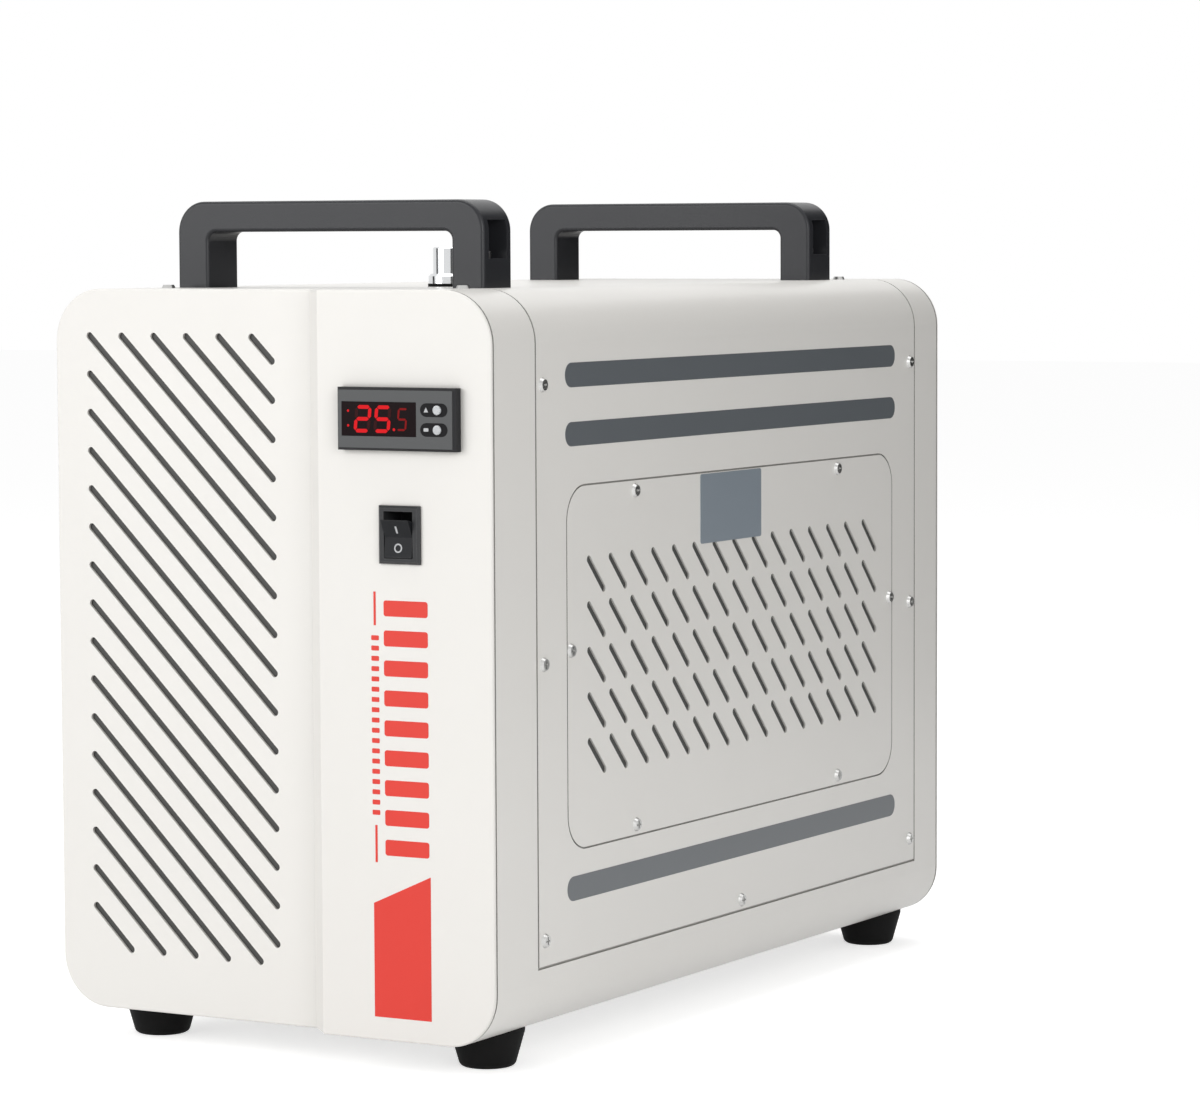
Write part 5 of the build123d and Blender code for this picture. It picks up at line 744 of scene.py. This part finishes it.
# %% Print the fields
field_ink = coated("field ink", colour=(0.006, 0.006, 0.007), shade=(0.008, 0.008, 0.009),
                   gloss=(0.3, 0.36), grain=1500.0, bump=0.00001, Specular_IOR_Level=0.1)
mark_ink = coated("mark ink", colour=(0.5, 0.51, 0.52), shade=(0.45, 0.46, 0.47), gloss=(0.4, 0.5),
                  grain=1500.0, bump=0.00001)
film_wall = Wall((0, film_low.y, 0), X_AXIS, Z_AXIS)
FIELD_LENGTH, FIELD_HEIGHT = 16.9 * MM, 7.2 * MM
FIELD_PAST_BUTTON = 6.3 * MM
FIELD_THICKNESS = 0.02 * MM
MARK_PROUD = 0.06 * MM
ARROW_HALF, ARROW_FOOT, ARROW_TIP = 1.4 * MM, 1.2 * MM, 1.4 * MM
DASH_HALF, DASH_HALF_TALL, DASH_CORNER = 1.5 * MM, 0.9 * MM, 0.5 * MM
for name in ("button_up", "button_set"):
    low, high = box_of(name)
    middle = (low.z + high.z) / 2
    tip = (low.x + high.x) / 2 + FIELD_PAST_BUTTON - FIELD_HEIGHT / 2
    tail = tip - FIELD_LENGTH + FIELD_HEIGHT
    outer = arc(tip, middle, FIELD_HEIGHT / 2, -90, 90) + arc(tail, middle, FIELD_HEIGHT / 2, 90, 270)
    flat_piece("field_" + name, film_wall, [outer], field_ink, thickness=FIELD_THICKNESS)
    if name == "button_up":
        mark = [(tail - ARROW_HALF, middle - ARROW_FOOT), (tail + ARROW_HALF, middle - ARROW_FOOT),
                (tail, middle + ARROW_TIP)]
    else:
        mark = rounded_bar(tail - DASH_HALF, tail + DASH_HALF, middle - DASH_HALF_TALL,
                           middle + DASH_HALF_TALL, DASH_CORNER)
    flat_piece("mark_" + name, film_wall, [mark], mark_ink, proud=MARK_PROUD, thickness=FIELD_THICKNESS)
print("fields", FIELD_LENGTH / MM, "by", FIELD_HEIGHT / MM, "mm")

# %% [markdown]
# ## Marks on the rocker
#
# A bar for on and a ring for off are printed on the two halves of the rocker. The rocker is tipped, so its
# marks lie on a tilted wall and ride on the rocker's body, not on the casing.

# %% Print the rocker's marks
ROCKER_X, ROCKER_Y, ROCKER_Z = 88.5, -277.5, 291.1  # the axis, in millimetres
ROCKER_CREASE = (-6.96, -1.35)  # Y and Z from the axis, and so for the two ends
ROCKER_UPPER_END = (-11.92, 8.29)
ROCKER_LOWER_END = (-7.95, -12.15)
BAR_HALF, BAR_FOOT, BAR_HEAD, BAR_CORNER = 0.55 * MM, 2.6 * MM, 7.0 * MM, 0.5 * MM
RING_HEIGHT, RING_OUTER, RING_INNER = -5.6 * MM, 2.5 * MM, 1.7 * MM


def rocker_wall(end):
    """One half of the rocker's face, measured from its crease towards the given end."""
    rise = Vector((0, end[0] - ROCKER_CREASE[0], end[1] - ROCKER_CREASE[1]))
    upwards = rise if rise.z > 0 else -rise
    origin = Vector((ROCKER_X, ROCKER_Y + ROCKER_CREASE[0], ROCKER_Z + ROCKER_CREASE[1])) * MM
    return Wall(origin, X_AXIS, upwards.normalized())


def ring_outlines(across, height, outer, inner, steps=20):
    """A ring as touching wedges."""
    outside = arc(across, height, outer, 0, 360, steps)
    inside = arc(across, height, inner, 0, 360, steps)
    return [[inside[i], outside[i], outside[i + 1], inside[i + 1]] for i in range(steps)]


on_bar = rounded_bar(-BAR_HALF, BAR_HALF, BAR_FOOT, BAR_HEAD, BAR_CORNER)
flat_piece("rocker_on_mark", rocker_wall(ROCKER_UPPER_END), [on_bar], mark_ink, "rocker")
off_ring = ring_outlines(0, RING_HEIGHT, RING_OUTER, RING_INNER)
flat_piece("rocker_off_mark", rocker_wall(ROCKER_LOWER_END), off_ring, mark_ink, "rocker")
print("ring wedges", len(off_ring))

# %% [markdown]
# ## Floor and light
#
# The machine stands on a plain pale floor. The floor keeps a soft shadow, but towards the camera it is
# lifted to white through its own material, so no extra light falls on the object. Three soft panels light
# it: one for the front, one for the side, one from above.

# %% Floor and background
def seen_directly(tree):
    """One where a ray comes straight from the camera, a mirror or glass, and nought elsewhere."""
    ray = add_node(tree, "ShaderNodeLightPath")
    open_view = combine(tree, "MAXIMUM", ray.outputs["Is Camera Ray"], ray.outputs["Is Glossy Ray"])
    return combine(tree, "MAXIMUM", open_view, ray.outputs["Is Transmission Ray"])


def stage_sheet(name, corners):
    """One flat face that belongs to the studio, not to the machine."""
    mesh = bpy.data.meshes.new(name)
    mesh.from_pydata(corners, [], [(0, 1, 2, 3)])
    sheet = bpy.data.objects.new(name, mesh)
    bpy.context.collection.objects.link(sheet)
    return sheet


FLOOR_REACH = 12.0
FLOOR_LIFT = 0.64
floor = stage_sheet("floor", [(a * FLOOR_REACH, b * FLOOR_REACH, 0)
                              for a, b in ((-1, -1), (1, -1), (1, 1), (-1, 1))])
floor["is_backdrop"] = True
floor_paint, tree, shader = new_finish("pale floor", colour=(0.8, 0.8, 0.8), roughness=0.9,
                                       Specular_IOR_Level=0.0)
lift = add_node(tree, "ShaderNodeMapRange", To_Min=0.0, To_Max=FLOOR_LIFT)
join(tree, seen_directly(tree), lift.inputs["Value"])
join(tree, lift.outputs["Result"], shader.inputs["Emission Strength"])
shader.inputs["Emission Color"].default_value = (1, 1, 1, 1)
floor.data.materials.append(floor_paint)

AMBIENT = 0.42
world = bpy.data.worlds.new("studio")
bpy.context.scene.world = world
world.use_nodes = True
sky = world.node_tree.nodes["Background"]
level = add_node(world.node_tree, "ShaderNodeMapRange", To_Min=AMBIENT, To_Max=1.0)
join(world.node_tree, seen_directly(world.node_tree), level.inputs["Value"])
join(world.node_tree, level.outputs["Result"], sky.inputs["Strength"])
sky.inputs["Color"].default_value = (1, 1, 1, 1)
print("floor", 2 * FLOOR_REACH, "m across")

# %% [markdown]
# ## Shape by taking light away
#
# Gloss black needs something dark to mirror, or it turns grey. A black felt flag stands behind the object on
# the right, out of the picture: the side of the handles mirrors it, and the long side of the casing falls off
# gently towards the rear.

# %% Studio panels and the flag
def panel(name, place, target, size, power):
    """A soft area light aimed at a point."""
    light = bpy.data.lights.new(name, "AREA")
    light.shape = "RECTANGLE"
    light.size, light.size_y = size
    light.energy = power
    lamp = bpy.data.objects.new(name, light)
    lamp.location = place
    lamp.rotation_euler = (Vector(target) - Vector(place)).to_track_quat("-Z", "Y").to_euler()
    bpy.context.collection.objects.link(lamp)


PANELS = (  # name, place, target, size in metres, power in watts
    ("front_panel_light", (-1.3, -2.2, 1.0), (0, -0.25, 0.25), (1.6, 1.4), 22.5),
    ("side_panel_light", (1.7, -1.5, 0.8), (0.145, -0.25, 0.25), (1.0, 1.2), 14.5),
    ("top_panel_light", (-0.2, 0.2, 2.4), (0, 0, 0.4), (2.0, 2.0), 24),
)
for settings in PANELS:
    panel(*settings)

FLAG_PLACE, FLAG_WIDTH, FLAG_TALL = (1.0, 1.35, 0.01), 2.2, 1.5
flag = stage_sheet("flag", [(a * FLAG_WIDTH / 2, 0, b * FLAG_TALL)
                            for a, b in ((-1, 0), (1, 0), (1, 1), (-1, 1))])
flag.location = FLAG_PLACE
flag.rotation_euler = (0, 0, -CAMERA_HEADING)
flag.visible_camera = False
flag.data.materials.append(new_finish("black felt", colour=(0.01, 0.01, 0.01), roughness=1.0)[0])
flag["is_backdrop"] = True
bpy.context.scene.view_settings.view_transform = "Standard"

# %% [markdown]
# ## Last measure
#
# The dressed machine may not outgrow its solids, so the box of everything shown is measured and its growth
# over the solids' box is printed.

# %% Finish
visual_low, visual_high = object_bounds()
growth = (visual_high - visual_low) - (solid_high - solid_low)
print("grown by mm", [round(1000 * g, 2) for g in growth])
